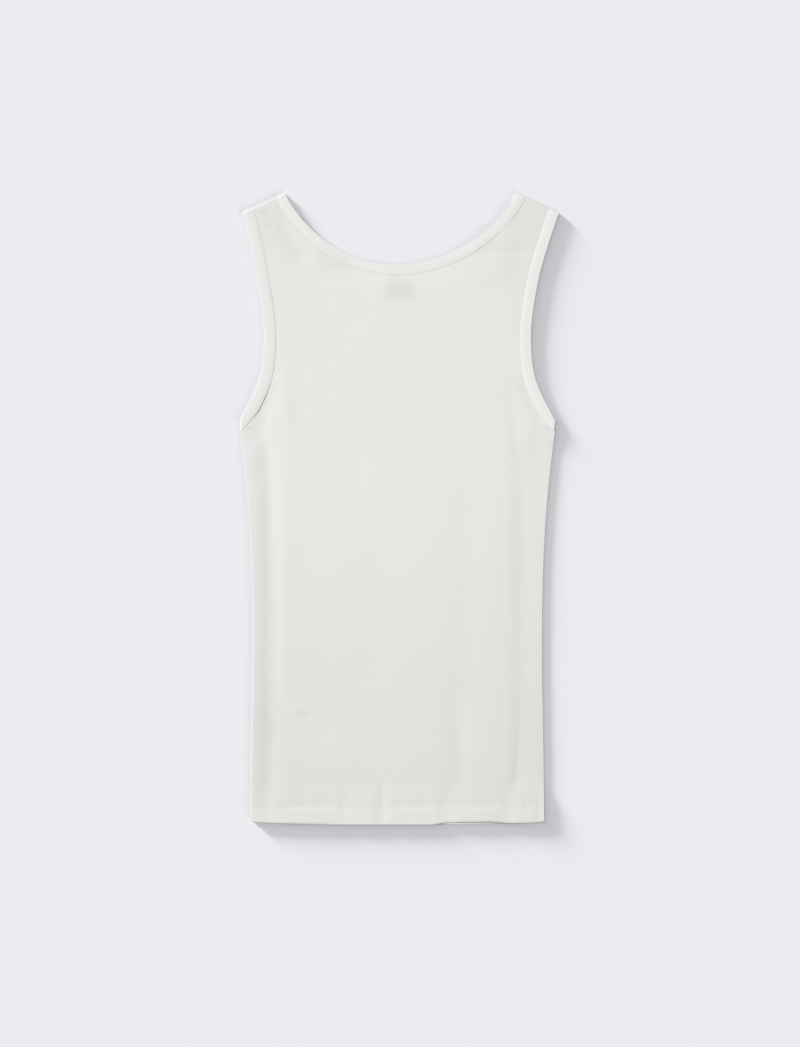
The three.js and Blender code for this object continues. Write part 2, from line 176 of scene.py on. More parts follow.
def new_piece(
    name: str,
    verts: np.ndarray,
    faces: np.ndarray | list,
    cut: np.ndarray | None = None,
    rim: int = 0,
) -> bpy.types.Object:
    """Makes a smooth-shaded mesh object.

    Args:
        name: Its name.
        verts: Its points, in metres.
        faces: Its faces, as rows of corner numbers.
        cut: Where each point lies on the cloth as cut, in millimetres, for the knit to follow.
        rim: How many of the last faces are a cut edge, shaded apart from the cloth's two sides.

    Returns:
        The new object, linked to the scene.
    """
    mesh = bpy.data.meshes.new(name)
    mesh.from_pydata(np.asarray(verts).tolist(), [], [list(map(int, f)) for f in faces])
    mesh.polygons.foreach_set("use_smooth", [True] * len(mesh.polygons))
    if rim:
        edges = np.empty(len(mesh.loops), np.int32)
        mesh.loops.foreach_get("edge_index", edges)
        sharp = np.zeros(len(mesh.edges), bool)
        sharp[edges[mesh.polygons[-rim].loop_start :]] = True
        mesh.edges.foreach_set("use_edge_sharp", sharp)
    if cut is not None:
        on_cloth = mesh.attributes.new(CUT, "FLOAT_VECTOR", "POINT")
        flat = np.zeros((len(verts), 3))
        flat[:, :2] = cut
        on_cloth.data.foreach_set("vector", flat.ravel())
    mesh.validate()
    mesh.update()
    piece = bpy.data.objects.new(name, mesh)
    bpy.context.scene.collection.objects.link(piece)
    return piece


# ---------------------------------------------------------------- the pattern


@dataclass(frozen=True)
class Edge:
    """An opening's edge: its points in order, and the way the cloth lies from each."""

    points: np.ndarray
    inward: np.ndarray

    def inset(self, distance: float) -> np.ndarray:
        """Returns the edge moved into the cloth by distance."""
        return self.points + self.inward * distance

    def mirrored(self) -> "Edge":
        """Returns the same edge on the other side of the centre line."""
        flip = np.array([-1.0, 1.0])
        return Edge(self.points * flip, self.inward * flip)

    def reversed(self) -> "Edge":
        """Returns the edge in the other order."""
        return Edge(self.points[::-1], self.inward[::-1])

    def joined(self, other: "Edge") -> "Edge":
        """Returns this edge followed by another that starts where it ends."""
        return Edge(
            np.concatenate([self.points, other.points[1:]]),
            np.concatenate([self.inward, other.inward[1:]]),
        )


@dataclass(frozen=True)
class Pattern:
    """The cut of the top, in millimetres: half widths, and heights up from the hem."""

    cloth: float = 1.0
    cloth_drawn: float = 0.75
    folded_strip: float = 1.6
    seam_gap: float = 0.3
    neck_band: float = 10.0
    armhole_band: float = 11.0
    hem_deep: float = 17.5
    shoulder_seam_down: float = 7.0
    loft: float = 2.2
    side_sections: tuple = (
        (146.0, 0.0),
        (145.4, 70.0),
        (143.9, 165.0),
        (145.0, 255.0),
        (149.0, 324.0),
        (154.6, 376.0),
        (158.3, 404.5),
    )
    underarm: tuple = (158.3, 404.5)
    underarm_leave: tuple = (-0.537, 1.0)
    armhole_deepest: tuple = (132.9, 488.0)
    strap_outer: tuple = (158.5, 612.0)
    strap_inner: tuple = (116.0, 631.5)
    back_neck_up: float = 559.3
    front_neck_up: float = 478.0
    armhole_reach: tuple = (38.9, 39.2, 36.7, 12.6)
    back_neck_reach: tuple = (52.8, 38.0)
    front_neck_reach: tuple = (66.0, 92.0)
    square_over: float = 26.0
    hem_bow: float = 3.0
    hem_clear: float = 0.8
    step: float = 1.4
    side_step: float = 2.0

    @property
    def strap_top(self) -> np.ndarray:
        """Returns the way along a strap's end, from armhole to neck."""
        return unit(np.subtract(self.strap_inner, self.strap_outer))

    @property
    def strap_up(self) -> np.ndarray:
        """Returns the way out of the right strap's folded end."""
        x, y = self.strap_top
        return np.array([y, -x])

    @property
    def side_down(self) -> np.ndarray:
        """Returns the way down the right side seam from the underarm."""
        return unit(np.subtract(self.side_sections[-2], self.underarm))

    @property
    def side_out(self) -> np.ndarray:
        """Returns the way out of the right side seam at the underarm."""
        x, y = self.side_down
        return np.array([-y, x])

    @property
    def fold_radius(self) -> float:
        """Returns the radius of a band's middle where it goes over a fold."""
        return (self.loft + self.cloth / 2 - self.folded_strip / 2) / 2

    @property
    def fold_reach(self) -> float:
        """Returns how far a folded band stands out of its fold's axis."""
        return self.fold_radius + self.folded_strip / 2

    @property
    def strap_outer_fold(self) -> np.ndarray:
        """Returns the strap's outer corner on its fold axis."""
        return np.array(self.strap_outer) - self.strap_up * self.fold_reach

    @property
    def strap_inner_fold(self) -> np.ndarray:
        """Returns the strap's inner corner on its fold axis."""
        return np.array(self.strap_inner) - self.strap_up * self.fold_reach

    @property
    def underarm_fold(self) -> np.ndarray:
        """Returns the underarm's corner on its fold axis."""
        return np.array(self.underarm) - self.side_out * self.fold_reach

    def _edge(self, samples: np.ndarray, turn: float) -> Edge:
        """Makes an edge of a sampled curve.

        Args:
            samples: The curve.
            turn: 1 when the cloth lies left of the way it runs, -1 when right.

        Returns:
            The edge, at even steps.
        """
        points = even_steps(samples, self.step)
        tangent = unit(np.gradient(points, axis=0))
        return Edge(points, np.stack([-tangent[:, 1], tangent[:, 0]], 1) * turn)

    def armhole_edge(self) -> Edge:
        """Returns the right armhole's edge, from the underarm to the strap's end."""
        deep = np.array(self.armhole_deepest)
        leave, below, above, top = self.armhole_reach
        start = self.underarm_fold
        end = self.strap_outer_fold
        lower = [start, start + unit(np.array(self.underarm_leave)) * leave]
        lower += [deep - (0, below), deep]
        upper = [deep, deep + (0, above), end - self.strap_up * top, end]
        edge = self._edge(np.concatenate([bezier(lower), bezier(upper)[1:]]), 1.0)
        away = np.linalg.norm(edge.points - start, axis=1)
        near = 1 - smoothstep(away, 0.0, self.square_over)[:, None]
        square = unit(edge.inward * (1 - near) + self.side_down * near)
        return Edge(edge.points, square)

    def neck_edge(self, lowest: float, reach: tuple[float, float]) -> Edge:
        """Makes one neck edge.

        Args:
            lowest: Its height on the centre line.
            reach: How firmly it leaves the centre line and the strap's end.

        Returns:
            The edge from the left strap's end to the right one's.
        """
        end = self.strap_inner_fold
        corners = [(0, lowest), (reach[0], lowest), end - self.strap_up * reach[1], end]
        right = self._edge(bezier(corners), -1.0)
        return right.mirrored().reversed().joined(right)

    def side_line(self) -> np.ndarray:
        """Returns the right side seam from the hem to the underarm band."""
        table = np.array(self.side_sections)
        up = np.arange(0.0, self.side_end[1], self.side_step)
        line = np.stack([self.half_wide(up), up], 1)
        line = line[line[:, 1] > self.hem_line(table[0, 0]) + self.hem_clear]
        return np.concatenate([line, [self.side_end]])

    @property
    def side_end(self) -> np.ndarray:
        """Returns where the side seam meets the armhole band."""
        return np.array(self.underarm) + self.side_down * (self.armhole_band + self.seam_gap)

    def half_wide(self, up: np.ndarray) -> np.ndarray:
        """Reads the half width of the body by a smooth curve through its sections.

        Args:
            up: Heights above the hem.

        Returns:
            The half width at each height.
        """
        table = np.array(self.side_sections)
        slope = np.gradient(table[:, 0], table[:, 1])
        at = np.clip(np.asarray(up, float), 0.0, table[-1, 1])
        k = np.clip(np.searchsorted(table[:, 1], at) - 1, 0, len(table) - 2)
        run = table[k + 1, 1] - table[k, 1]
        t = (at - table[k, 1]) / run
        start = table[k, 0] * (1 + 2 * t) * (1 - t) ** 2 + slope[k] * run * t * (1 - t) ** 2
        end = table[k + 1, 0] * t**2 * (3 - 2 * t) + slope[k + 1] * run * t**2 * (t - 1)
        return start + end

    def hem_line(self, x: np.ndarray) -> np.ndarray:
        """Returns the hem's height: its corners sit a little higher than its middle."""
        return self.hem_bow * (np.asarray(x, float) / self.side_sections[0][0]) ** 4


# ---------------------------------------------------------------- how it lies


@dataclass(frozen=True)
class Fold:
    """A soft trough (rise below 0) or ridge between two points of the pattern."""

    x1: float
    y1: float
    x2: float
    y2: float
    wide: float
    rise: float
    bend: float = 0.0
    ends: float = 0.18

    def height(self, x: np.ndarray, y: np.ndarray) -> np.ndarray:
        """Reads the fold.

        Args:
            x: Distances from the centre line.
            y: Heights above the hem.

        Returns:
            How far it lifts the cloth at each point.
        """
        run = np.array([self.x2 - self.x1, self.y2 - self.y1])
        length = np.linalg.norm(run)
        run = run / length
        along = ((x - self.x1) * run[0] + (y - self.y1) * run[1]) / length
        across = (x - self.x1) * run[1] - (y - self.y1) * run[0]
        across = across - self.bend * (1 - (2 * along - 1) ** 2)
        fade = smoothstep(along, -self.ends, self.ends)
        fade = fade * smoothstep(1 - along, -self.ends, self.ends)
        return self.rise * fade * np.exp(-((across / self.wide) ** 2))


@dataclass(frozen=True)
class Hollow:
    """A stretch of the hem between two pulls of its stitches, or a pull itself."""

    x: float
    half: float
    strength: float
    full_to: float = 0.6
    gone_by: float = 1.3

    def at(self, x: np.ndarray) -> np.ndarray:
        """Returns its soft-ended strength along the hem."""
        away = np.abs(x - self.x)
        return self.strength * (
            1 - smoothstep(away, self.half * self.full_to, self.half * self.gone_by)
        )


@dataclass(frozen=True)
class SideRelief:
    """The side folds: a roll along the left one, and a low ledge along the right one."""

    roll_crest: float = 3.0
    roll_rise: float = 1.15
    roll_over: float = 25.0
    left_drop: float = -0.05
    right_drop: float = 0.6
    ledge_drop: float = 1.0
    ledge_wide: float = 13.0
    ledge_top: tuple[float, float] = (117.0, 364.0)
    ledge_out: float = 6.0
    ledge_out_over: float = 190.0
    starts: tuple[float, float] = (22.0, 54.0)
    ends: tuple[float, float] = (368.0, 393.5)

    def height(self, x: np.ndarray, y: np.ndarray, half_wide: np.ndarray) -> np.ndarray:
        """Reads the side folds.

        Args:
            x: Distances from the centre line.
            y: Heights above the hem.
            half_wide: The body's half width at each of those heights.

        Returns:
            How far they lift or drop the cloth.
        """
        inside = np.maximum(half_wide - np.abs(x), 0.0)
        drop = np.where(x < 0, self.left_drop, self.right_drop)
        edge_drop = drop * (1 - smoothstep(inside, 0.0, self.roll_crest))
        roll = self.roll_rise * (1 - smoothstep(inside, self.roll_crest, self.roll_over))
        top_x, top_y = self.ledge_top
        centre = top_x + self.ledge_out * smoothstep(top_y - y, 0, self.ledge_out_over)
        ledge = self.ledge_drop * smoothstep(x, centre - self.ledge_wide, centre + self.ledge_wide)
        height = np.where(x < 0, roll, -ledge) - edge_drop
        return height * smoothstep(y, *self.starts) * (1 - smoothstep(y, *self.ends))


@dataclass(frozen=True)
class HemGroove:
    """The stitched groove at the top of the hem, drawn in unevenly along its length."""

    deep: float = 0.6
    least_pull: float = 0.35
    over: float = 7.0
    under: float = 1.9
    wander: float = 0.6
    wander_every: float = 17.0
    puckered: float = 0.15
    pucker_every: float = 3.1
    pucker_drift: float = 0.8
    pucker_drift_every: float = 7.7
    pulls: tuple[Hollow, ...] = (
        Hollow(-90, 27, 1.0),
        Hollow(14, 23, 0.8),
        Hollow(78, 20, 1.1),
        Hollow(131, 6, 0.6),
    )

    def height(self, x: np.ndarray, from_top: np.ndarray) -> np.ndarray:
        """Reads the groove.

        Args:
            x: Distances from the centre line.
            from_top: Heights above the top of the hem.

        Returns:
            How far it lifts the cloth: never above 0.
        """
        pull = self.least_pull + sum(hollow.at(x) for hollow in self.pulls)
        drift = self.pucker_drift * np.sin(x / self.pucker_drift_every)
        pucker = np.sin(x / self.pucker_every + drift)
        pull = pull * (1 - self.puckered + self.puckered * pucker)
        from_line = from_top - self.wander * np.sin(x / self.wander_every)
        wide = np.where(from_line > 0, self.over, self.under)
        return -self.deep * pull * np.exp(-((from_line / wide) ** 2))


@dataclass(frozen=True)
class Relief:
    """Height of the upper cloth above the table as it lies."""

    pattern: Pattern
    side_folds: SideRelief = SideRelief()
    groove: HemGroove = HemGroove()
    hem_rise: float = 1.05
    hem_rise_over: float = 24.0
    lowest: float = 1.12
    hem_lowest: float = 2.68
    hem_lowest_over: float = 9.0
    sag_deep: float = 1.4
    sag_starts: tuple[float, float] = (535.0, 560.0)
    sag_ends: tuple[float, float] = (40.0, 90.0)
    soften: float = 0.12
    fullness: float = 1.25
    unevenness: tuple = ((0.16, 58.0, 95.0, 3), (0.05, 17.0, 34.0, 8))
    hem_lift: Hollow = Hollow(72, 32, 2.3)
    hem_lift_ends: tuple[float, float] = (2.0, 60.0)
    folds: tuple[Fold, ...] = (
        # Down both sides of the body.
        Fold(-128, 350, -129, 45, 9, -0.75),
        Fold(125, 335, 122, 60, 6.5, -0.40),
        Fold(-112, 405, -111, 150, 12, 0.22),
        # The pull of the label's tacks.
        Fold(-7, 545.5, 6, 545.5, 1.6, -0.25),
        # Under the arms.
        Fold(-126, 436, -149, 376, 8, -0.45, -2.0),
        Fold(-136, 418, -131, 352, 7, -0.45),
        Fold(-113, 452, -109, 398, 6, 0.35),
        Fold(126, 446, 143, 404, 6, -0.45, 2.0),
        Fold(112, 440, 118, 372, 5, -0.30),
        Fold(132, 408, 128, 340, 5, 0.25),
        # Long shallow folds down the body.
        Fold(70, 330, 64, 60, 16, -0.45),
        Fold(58, 130, 62, 20, 9, -0.45),
        Fold(-14, 300, -22, 110, 20, -0.12),
        # On the straps and beside the neck.
        Fold(-124, 612, -93, 564, 8, -0.80, 2.0),
        Fold(-98, 574, -70, 545, 10, -0.32),
        Fold(-136, 613, -128, 596, 4, -0.35),
        Fold(-66, 556, -20, 538, 10, -0.20),
        Fold(82, 574, 133, 575, 2.6, -0.34, 1.2),
        Fold(96, 570, 128, 561, 2.2, 0.16),
        Fold(96, 545, 110, 600, 15, 0.45),
        # Creases low on the body, and a faint one in its middle.
        Fold(-121, 122, -88, 105, 4.0, -0.34, 3.0),
        Fold(-112, 114, -80, 112, 3.5, 0.24, -2.0),
        Fold(-94, 112, -66, 90, 5.0, -0.34, 2.0),
        Fold(-124, 92, -70, 84, 12, -0.30),
        Fold(127, 92, 118, 40, 6, -0.70),
        Fold(-12, 108, -4, 60, 9, -0.16),
        Fold(20, 380, 26, 300, 12, -0.10),
    )
    hem_valleys: tuple[Fold, ...] = (
        Fold(-53, 34, -55, -6, 6, -0.45, 0.0, 0.3),
        Fold(-15, 40, -17, -6, 5, -0.50, 0.0, 0.3),
        Fold(51, 44, 49, -6, 7, -0.55, 0.0, 0.3),
        Fold(111, 40, 109, -6, 8, -0.50, 0.0, 0.3),
        Fold(-128, 60, -134, -4, 8, -0.30, 0.0, 0.3),
        Fold(139, 40, 142, -6, 4, -0.30, 0.0, 0.3),
    )

    def sag(self, x: np.ndarray, y: np.ndarray) -> np.ndarray:
        """Returns how far the back neck sags where no front cloth lies under it."""
        across = 1 - smoothstep(np.abs(x), *self.sag_ends)
        return self.sag_deep * smoothstep(y, *self.sag_starts) * across

    def pushed_up(self, x: np.ndarray, y: np.ndarray) -> np.ndarray:
        """Returns how far up the body the back cloth is pushed, clear of the front's hem."""
        return self.hem_lift.at(x) * (1 - smoothstep(y, *self.hem_lift_ends))

    def drift(self, x: np.ndarray, y: np.ndarray) -> np.ndarray:
        """Returns the faint unevenness of cloth smoothed by hand."""
        return sum(deep * soft_noise(x, y, *cells) for deep, *cells in self.unevenness)

    def under_back(self, x: np.ndarray, y: np.ndarray) -> np.ndarray:
        """Reads the underside of the back cloth.

        Args:
            x: Distances from the centre line.
            y: Heights above the hem.

        Returns:
            Its height above the table.
        """
        p = self.pattern
        above_hem = y - p.hem_deep
        near_hem = 1 - smoothstep(above_hem, 0.0, self.hem_rise_over)
        level = p.loft + self.hem_rise * near_hem + self.drift(x, y)
        level = level + self.side_folds.height(x, y, p.half_wide(y))
        for fold in self.folds + self.hem_valleys:
            level = level + self.fullness * fold.height(x, y)
        level = level + self.groove.height(x, above_hem)
        over_hem = 1 - smoothstep(above_hem, 0.0, self.hem_lowest_over)
        lowest = self.lowest + (self.hem_lowest - self.lowest) * over_hem
        room = (level - lowest) / self.soften
        level = lowest + self.soften * np.logaddexp(0.0, room)
        return level - self.sag(x, y)

    def band_middle(self, x: np.ndarray, y: np.ndarray) -> np.ndarray:
        """Returns the height of the middle of the bands' upper layer."""
        return self.pattern.loft + self.pattern.cloth / 2 - self.sag(x, y)


@dataclass(frozen=True)
class Placement:
    """Turns pattern millimetres into metres in the frame."""

    pattern: Pattern
    lean: float = -3.0
    straightens: tuple[float, float] = (540.0, 612.0)

    def place(self, points: np.ndarray) -> np.ndarray:
        """Places points of the pattern.

        Args:
            points: Rows of x, y and height above the table, in millimetres.

        Returns:
            The same points in metres, leaned as the top lies and set on the frame.
        """
        low = np.array(CAD_BOX[0]) / MM
        leaned = np.array(points, float)
        lean = self.lean * (1 - smoothstep(leaned[:, 1], *self.straightens))
        leaned[:, 0] += lean + low[0] + self.pattern.underarm[0] - self.lean
        leaned[:, 1] += low[1]
        leaned[:, 2] += low[2]
        return leaned * MM


# ---------------------------------------------------------------- finishes


def linear(hex_colour: str) -> tuple[float, float, float, float]:
    """Turns an sRGB hex colour into linear RGBA.

    Args:
        hex_colour: Six digits after a #.

    Returns:
        Linear red, green, blue and an alpha of 1.
    """
    shares = [int(hex_colour[k : k + 2], 16) / 255 for k in (1, 3, 5)]
    channels = [s / 12.92 if s <= 0.04045 else ((s + 0.055) / 1.055) ** 2.4 for s in shares]
    return (*channels, 1.0)


def add_node(
    tree: bpy.types.NodeTree, kind: str, inputs: dict | None = None, **settings: object
) -> bpy.types.Node:
    """Adds a node with its settings, values and links.

    Args:
        tree: The node tree.
        kind: The node's type name.
        inputs: By socket name or number, a value, or the output socket that feeds it.
        settings: The node's own attributes.

    Returns:
        The new node.
    """
    node = tree.nodes.new(kind)
    for name, value in settings.items():
        setattr(node, name, value)
    for socket, value in (inputs or {}).items():
        if isinstance(value, bpy.types.NodeSocket):
            tree.links.new(value, node.inputs[socket])
        else:
            node.inputs[socket].default_value = value
    return node


def maths(
    tree: bpy.types.NodeTree, operation: str, *values: bpy.types.NodeSocket | float
) -> bpy.types.NodeSocket:
    """Adds one sum to a node tree.

    Args:
        tree: The node tree.
        operation: What it works out.
        values: What it works on, in the node's own order.

    Returns:
        The result.
    """
    node = add_node(tree, "ShaderNodeMath", dict(enumerate(values)), operation=operation)
    return node.outputs[0]


def blend(
    tree: bpy.types.NodeTree,
    share: bpy.types.NodeSocket,
    start: bpy.types.NodeSocket | tuple,
    end: bpy.types.NodeSocket | tuple,
) -> bpy.types.NodeSocket:
    """Adds a blend of two colours to a node tree.

    Args:
        tree: The node tree.
        share: How far from the first colour to the second.
        start: The first colour.
        end: The second colour.

    Returns:
        The blended colour.
    """
    values = {0: share, 6: start, 7: end}
    return add_node(tree, "ShaderNodeMix", values, data_type="RGBA").outputs[2]


def bumped(
    tree: bpy.types.NodeTree, height: bpy.types.NodeSocket, strength: float, deep: float
) -> bpy.types.NodeSocket:
    """Adds a raised pattern to a node tree.

    Args:
        tree: The node tree.
        height: The pattern.
        strength: How strongly it shows.
        deep: How high a pattern value of 1 stands, in millimetres.

    Returns:
        The surface's way out.
    """
    raised = {"Strength": strength, "Distance": deep * MM, "Height": height}
    return add_node(tree, "ShaderNodeBump", raised).outputs["Normal"]


def finished(material: bpy.types.Material, looks: dict) -> bpy.types.Material:
    """Gives a material its surface.

    Args:
        material: The material.
        looks: The surface's values and links.

    Returns:
        The same material.
    """
    shader = add_node(material.node_tree, "ShaderNodeBsdfPrincipled", looks)
    surface = {"Surface": shader.outputs["BSDF"]}
    add_node(material.node_tree, "ShaderNodeOutputMaterial", surface)
    return material


def empty_material(name: str) -> bpy.types.Material:
    """Makes a material with no nodes in it."""
    material = bpy.data.materials.new(name)
    material.use_nodes = True
    material.node_tree.nodes.clear()
    return material


@dataclass(frozen=True)
class Fade:
    """How the cloth's colour darkens with painted shade, or lightens, along one way of the cloth, and
    by what share.
    """

    axis: str
    start: float
    end: float
    share: float


@dataclass(frozen=True)
class KnitFinish:
    """Fine combed-cotton single knit, washed and pressed.

    The eye sees a matt off-white surface with a faint nap, and close up the small V of each loop in
    upright columns that wander a little. The real loops are about 0.7 mm wide. They are drawn at
    twice that, as coarse as they need to be to show at all. Painted shade darkens the colour a little
    towards the hem, the right side and the straps, and the cloth is lighter where the turned-up hem
    backs it.
    """

    name: str = "combed_cotton_knit_pressed"
    colour: str = "#E8E8E4"
    # The darker colour, for the random wash and for the painted shade of the fades.
    deeper: str = "#DFDFDA"
    shaded: str = "#CFCFCA"
    roughness: float = 0.92
    sheen: float = 0.08
    loop_wide: float = 1.4
    loop_tall: float = 1.05
    loop_raised: float = 0.045
    # Colour factor from the loops' hollows to their tops: painted shade and painted light.
    loop_painted_shade: tuple[float, float] = (0.98, 1.008)
    leg_lean: float = 1.3
    leg_share: float = 0.25
    wander: float = 1.6
    wander_scale: float = 0.035
    nap_scale: float = 1.4
    nap_share: float = 0.6
    wash_scale: float = 0.016
    wash_share: tuple[float, float] = (-0.06, 0.10)
    painted_shade_and_hem_fades: tuple[Fade, ...] = (
        # Painted shade: darker towards the hem, towards the right side, and on the straps.
        Fade("Y", 345.0, 10.0, 0.85),
        Fade("X", 10.0, 125.0, 0.24),
        Fade("Y", 535.0, 600.0, 0.42),
        # Lighter where the turned-up hem backs the cloth.
        Fade("Y", 18.3, 16.8, -0.42),
    )
    label: tuple[float, float, float, float] | None = None
    label_shows: float = 0.34
    label_soft: tuple[float, float] = (5.0, 9.0)

    def build(self) -> bpy.types.Material:
        """Returns the finish as a material."""
        material = empty_material(self.name)
        tree = material.node_tree
        on_cloth = add_node(tree, "ShaderNodeAttribute", attribute_name=CUT).outputs["Vector"]
        axes = add_node(tree, "ShaderNodeSeparateXYZ", {0: on_cloth}).outputs
        height = self._loops(tree, on_cloth)
        colour = self._tone(tree, on_cloth, axes, height)
        if self.label:
            colour = self._label_behind(tree, axes, colour)
        looks = {
            "Base Color": colour,
            "Normal": bumped(tree, height, 1.0, self.loop_raised),
            "Roughness": self.roughness,
            "IOR": 1.5,
            "Specular IOR Level": 0.25,
            "Sheen Weight": self.sheen,
            "Sheen Roughness": 0.6,
        }
        return finished(material, looks)

    def _loops(
        self, tree: bpy.types.NodeTree, on_cloth: bpy.types.NodeSocket
    ) -> bpy.types.NodeSocket:
        """Draws the height of the knit's loops: two leaning legs to each loop, column by column.

        Args:
            tree: The material's node tree.
            on_cloth: Where the point lies on the cloth as cut.

        Returns:
            The height, from 0 to about 1.5.
        """
        slow = {"Vector": on_cloth, "Scale": self.wander_scale, "Detail": 1.0}
        drift = add_node(tree, "ShaderNodeTexNoise", slow).outputs["Color"]
        moved = {0: drift, 1: (self.wander,) * 3, 2: on_cloth}
        wandered = add_node(
            tree, "ShaderNodeVectorMath", moved, operation="MULTIPLY_ADD"
        ).outputs[0]
        axes = add_node(tree, "ShaderNodeSeparateXYZ", {0: wandered}).outputs
        from_middle = maths(tree, "PINGPONG", axes["X"], self.loop_wide / 2)
        turn = maths(tree, "MULTIPLY", from_middle, math.pi / self.loop_wide)
        column = maths(tree, "COSINE", turn)
        lean = maths(tree, "MULTIPLY_ADD", from_middle, self.leg_lean, axes["Y"])
        course = maths(tree, "MULTIPLY", lean, 2 * math.pi / self.loop_tall)
        wave = maths(tree, "SINE", course)
        legs = maths(tree, "MULTIPLY_ADD", wave, self.leg_share, 1 - self.leg_share)
        loops = maths(tree, "MULTIPLY", column, legs)
        fuzz = {"Vector": on_cloth, "Scale": self.nap_scale, "Detail": 3.0, "Roughness": 0.6}
        nap = add_node(tree, "ShaderNodeTexNoise", fuzz).outputs[0]
        return maths(tree, "MULTIPLY_ADD", nap, self.nap_share, loops)

    def _tone(
        self,
        tree: bpy.types.NodeTree,
        on_cloth: bpy.types.NodeSocket,
        axes: object,
        height: bpy.types.NodeSocket,
    ) -> bpy.types.NodeSocket:
        """Draws the cloth's uneven tone, its painted shade towards the hem, the right side and the
        straps, and the painted shade and light of its loops.

        Args:
            tree: The material's node tree.
            on_cloth: Where the point lies on the cloth as cut.
            axes: The same, as separate x and y.
            height: The loops' height.

        Returns:
            The colour.
        """
        wash = {"Vector": on_cloth, "Scale": self.wash_scale, "Detail": 2.0}
        cloud = add_node(tree, "ShaderNodeTexNoise", wash).outputs[0]
        least, most = self.wash_share
        spread = {"Value": cloud, "From Min": 0.3, "From Max": 0.7, "To Min": least, "To Max": most}
        share = add_node(tree, "ShaderNodeMapRange", spread).outputs[0]
        # Painted shade towards the hem, the right side and the straps; lighter over the hem.
        for fade in self.painted_shade_and_hem_fades:
            ramp = {
                "Value": axes[fade.axis],
                "From Min": fade.start,
                "From Max": fade.end,
                "To Max": fade.share,
            }
            more = add_node(tree, "ShaderNodeMapRange", ramp).outputs[0]
            share = maths(tree, "ADD", share, more)
        tone = blend(tree, share, linear(self.colour), linear(self.deeper))
        # Painted shade in the hollows between the loops, and painted light on their tops.
        deep, raised = self.loop_painted_shade
        loop_shade_range = {"Value": height, "From Max": 1.3, "To Min": deep, "To Max": raised}
        between = add_node(tree, "ShaderNodeMapRange", loop_shade_range).outputs[0]
        shaded = {0: 1.0, 6: tone, 7: between}
        return add_node(
            tree, "ShaderNodeMix", shaded, data_type="RGBA", blend_type="MULTIPLY"
        ).outputs[2]

    def _label_behind(
        self, tree: bpy.types.NodeTree, axes: object, colour: bpy.types.NodeSocket
    ) -> bpy.types.NodeSocket:
        """Darkens the cloth a little where the label lies behind it.

        Args:
            tree: The material's node tree.
            axes: Where the point lies on the cloth as cut, as separate x and y.
            colour: The cloth's colour.

        Returns:
            The colour with the label showing through.
        """
        masks = []
        outside, inner = self.label_soft
        middle_x, middle_y, half_wide, half_tall = self.label
        for axis, middle, half in (("X", middle_x, half_wide), ("Y", middle_y, half_tall)):
            away = maths(tree, "ABSOLUTE", maths(tree, "SUBTRACT", axes[axis], middle))
            soft = {"Value": away, "From Min": half + outside, "From Max": half - inner}
            mask = add_node(tree, "ShaderNodeMapRange", soft, interpolation_type="SMOOTHSTEP")
            masks.append(mask.outputs[0])
        share = maths(tree, "MULTIPLY", maths(tree, "MULTIPLY", *masks), self.label_shows)
        return blend(tree, share, colour, linear(self.shaded))


@dataclass(frozen=True)
class ThreadFinish:
    """Spun polyester sewing thread, dyed to match: a little smoother and brighter than the knit."""

    name: str = "spun_sewing_thread"
    colour: str = "#ECECE9"
    deeper: str = "#DEDEDA"
    roughness: float = 0.7
    twist: float = 0.35
    twist_shows: float = 0.6
    twist_raised: float = 0.04
    sheen: float = 0.1

    def build(self) -> bpy.types.Material:
        """Returns the finish as a material."""
        material = empty_material(self.name)
        tree = material.node_tree
        place = add_node(tree, "ShaderNodeTexCoord").outputs["Object"]
        plies = {"Vector": place, "Scale": 1 / (self.twist * MM * 2 * math.pi)}
        twist = add_node(tree, "ShaderNodeTexWave", plies, bands_direction="DIAGONAL").outputs[1]
        looks = {
            "Base Color": blend(tree, twist, linear(self.deeper), linear(self.colour)),
            "Normal": bumped(tree, twist, self.twist_shows, self.twist_raised),
            "Roughness": self.roughness,
            "Sheen Weight": self.sheen,
        }
        return finished(material, looks)


@dataclass(frozen=True)
class TapeFinish:
    """Woven satin label tape, heat-cut and blank: fine crosswise ribs with a soft gloss."""

    name: str = "woven_label_tape"
    colour: str = "#E0E0DC"
    deeper: str = "#D4D4D0"
    roughness: float = 0.55
    rib: float = 0.5
    rib_shows: float = 0.7
    rib_raised: float = 0.05
    sheen: float = 0.1

    def build(self) -> bpy.types.Material:
        """Returns the finish as a material."""
        material = empty_material(self.name)
        tree = material.node_tree
        on_cloth = add_node(tree, "ShaderNodeAttribute", attribute_name=CUT).outputs["Vector"]
        picks = {"Vector": on_cloth, "Scale": 1 / (self.rib * 2 * math.pi), "Distortion": 0.4}
        ribs = add_node(tree, "ShaderNodeTexWave", picks, bands_direction="Y").outputs[1]
        looks = {
            "Base Color": blend(tree, ribs, linear(self.deeper), linear(self.colour)),
            "Normal": bumped(tree, ribs, self.rib_shows, self.rib_raised),
            "Roughness": self.roughness,
            "Sheen Weight": self.sheen,
        }
        return finished(material, looks)


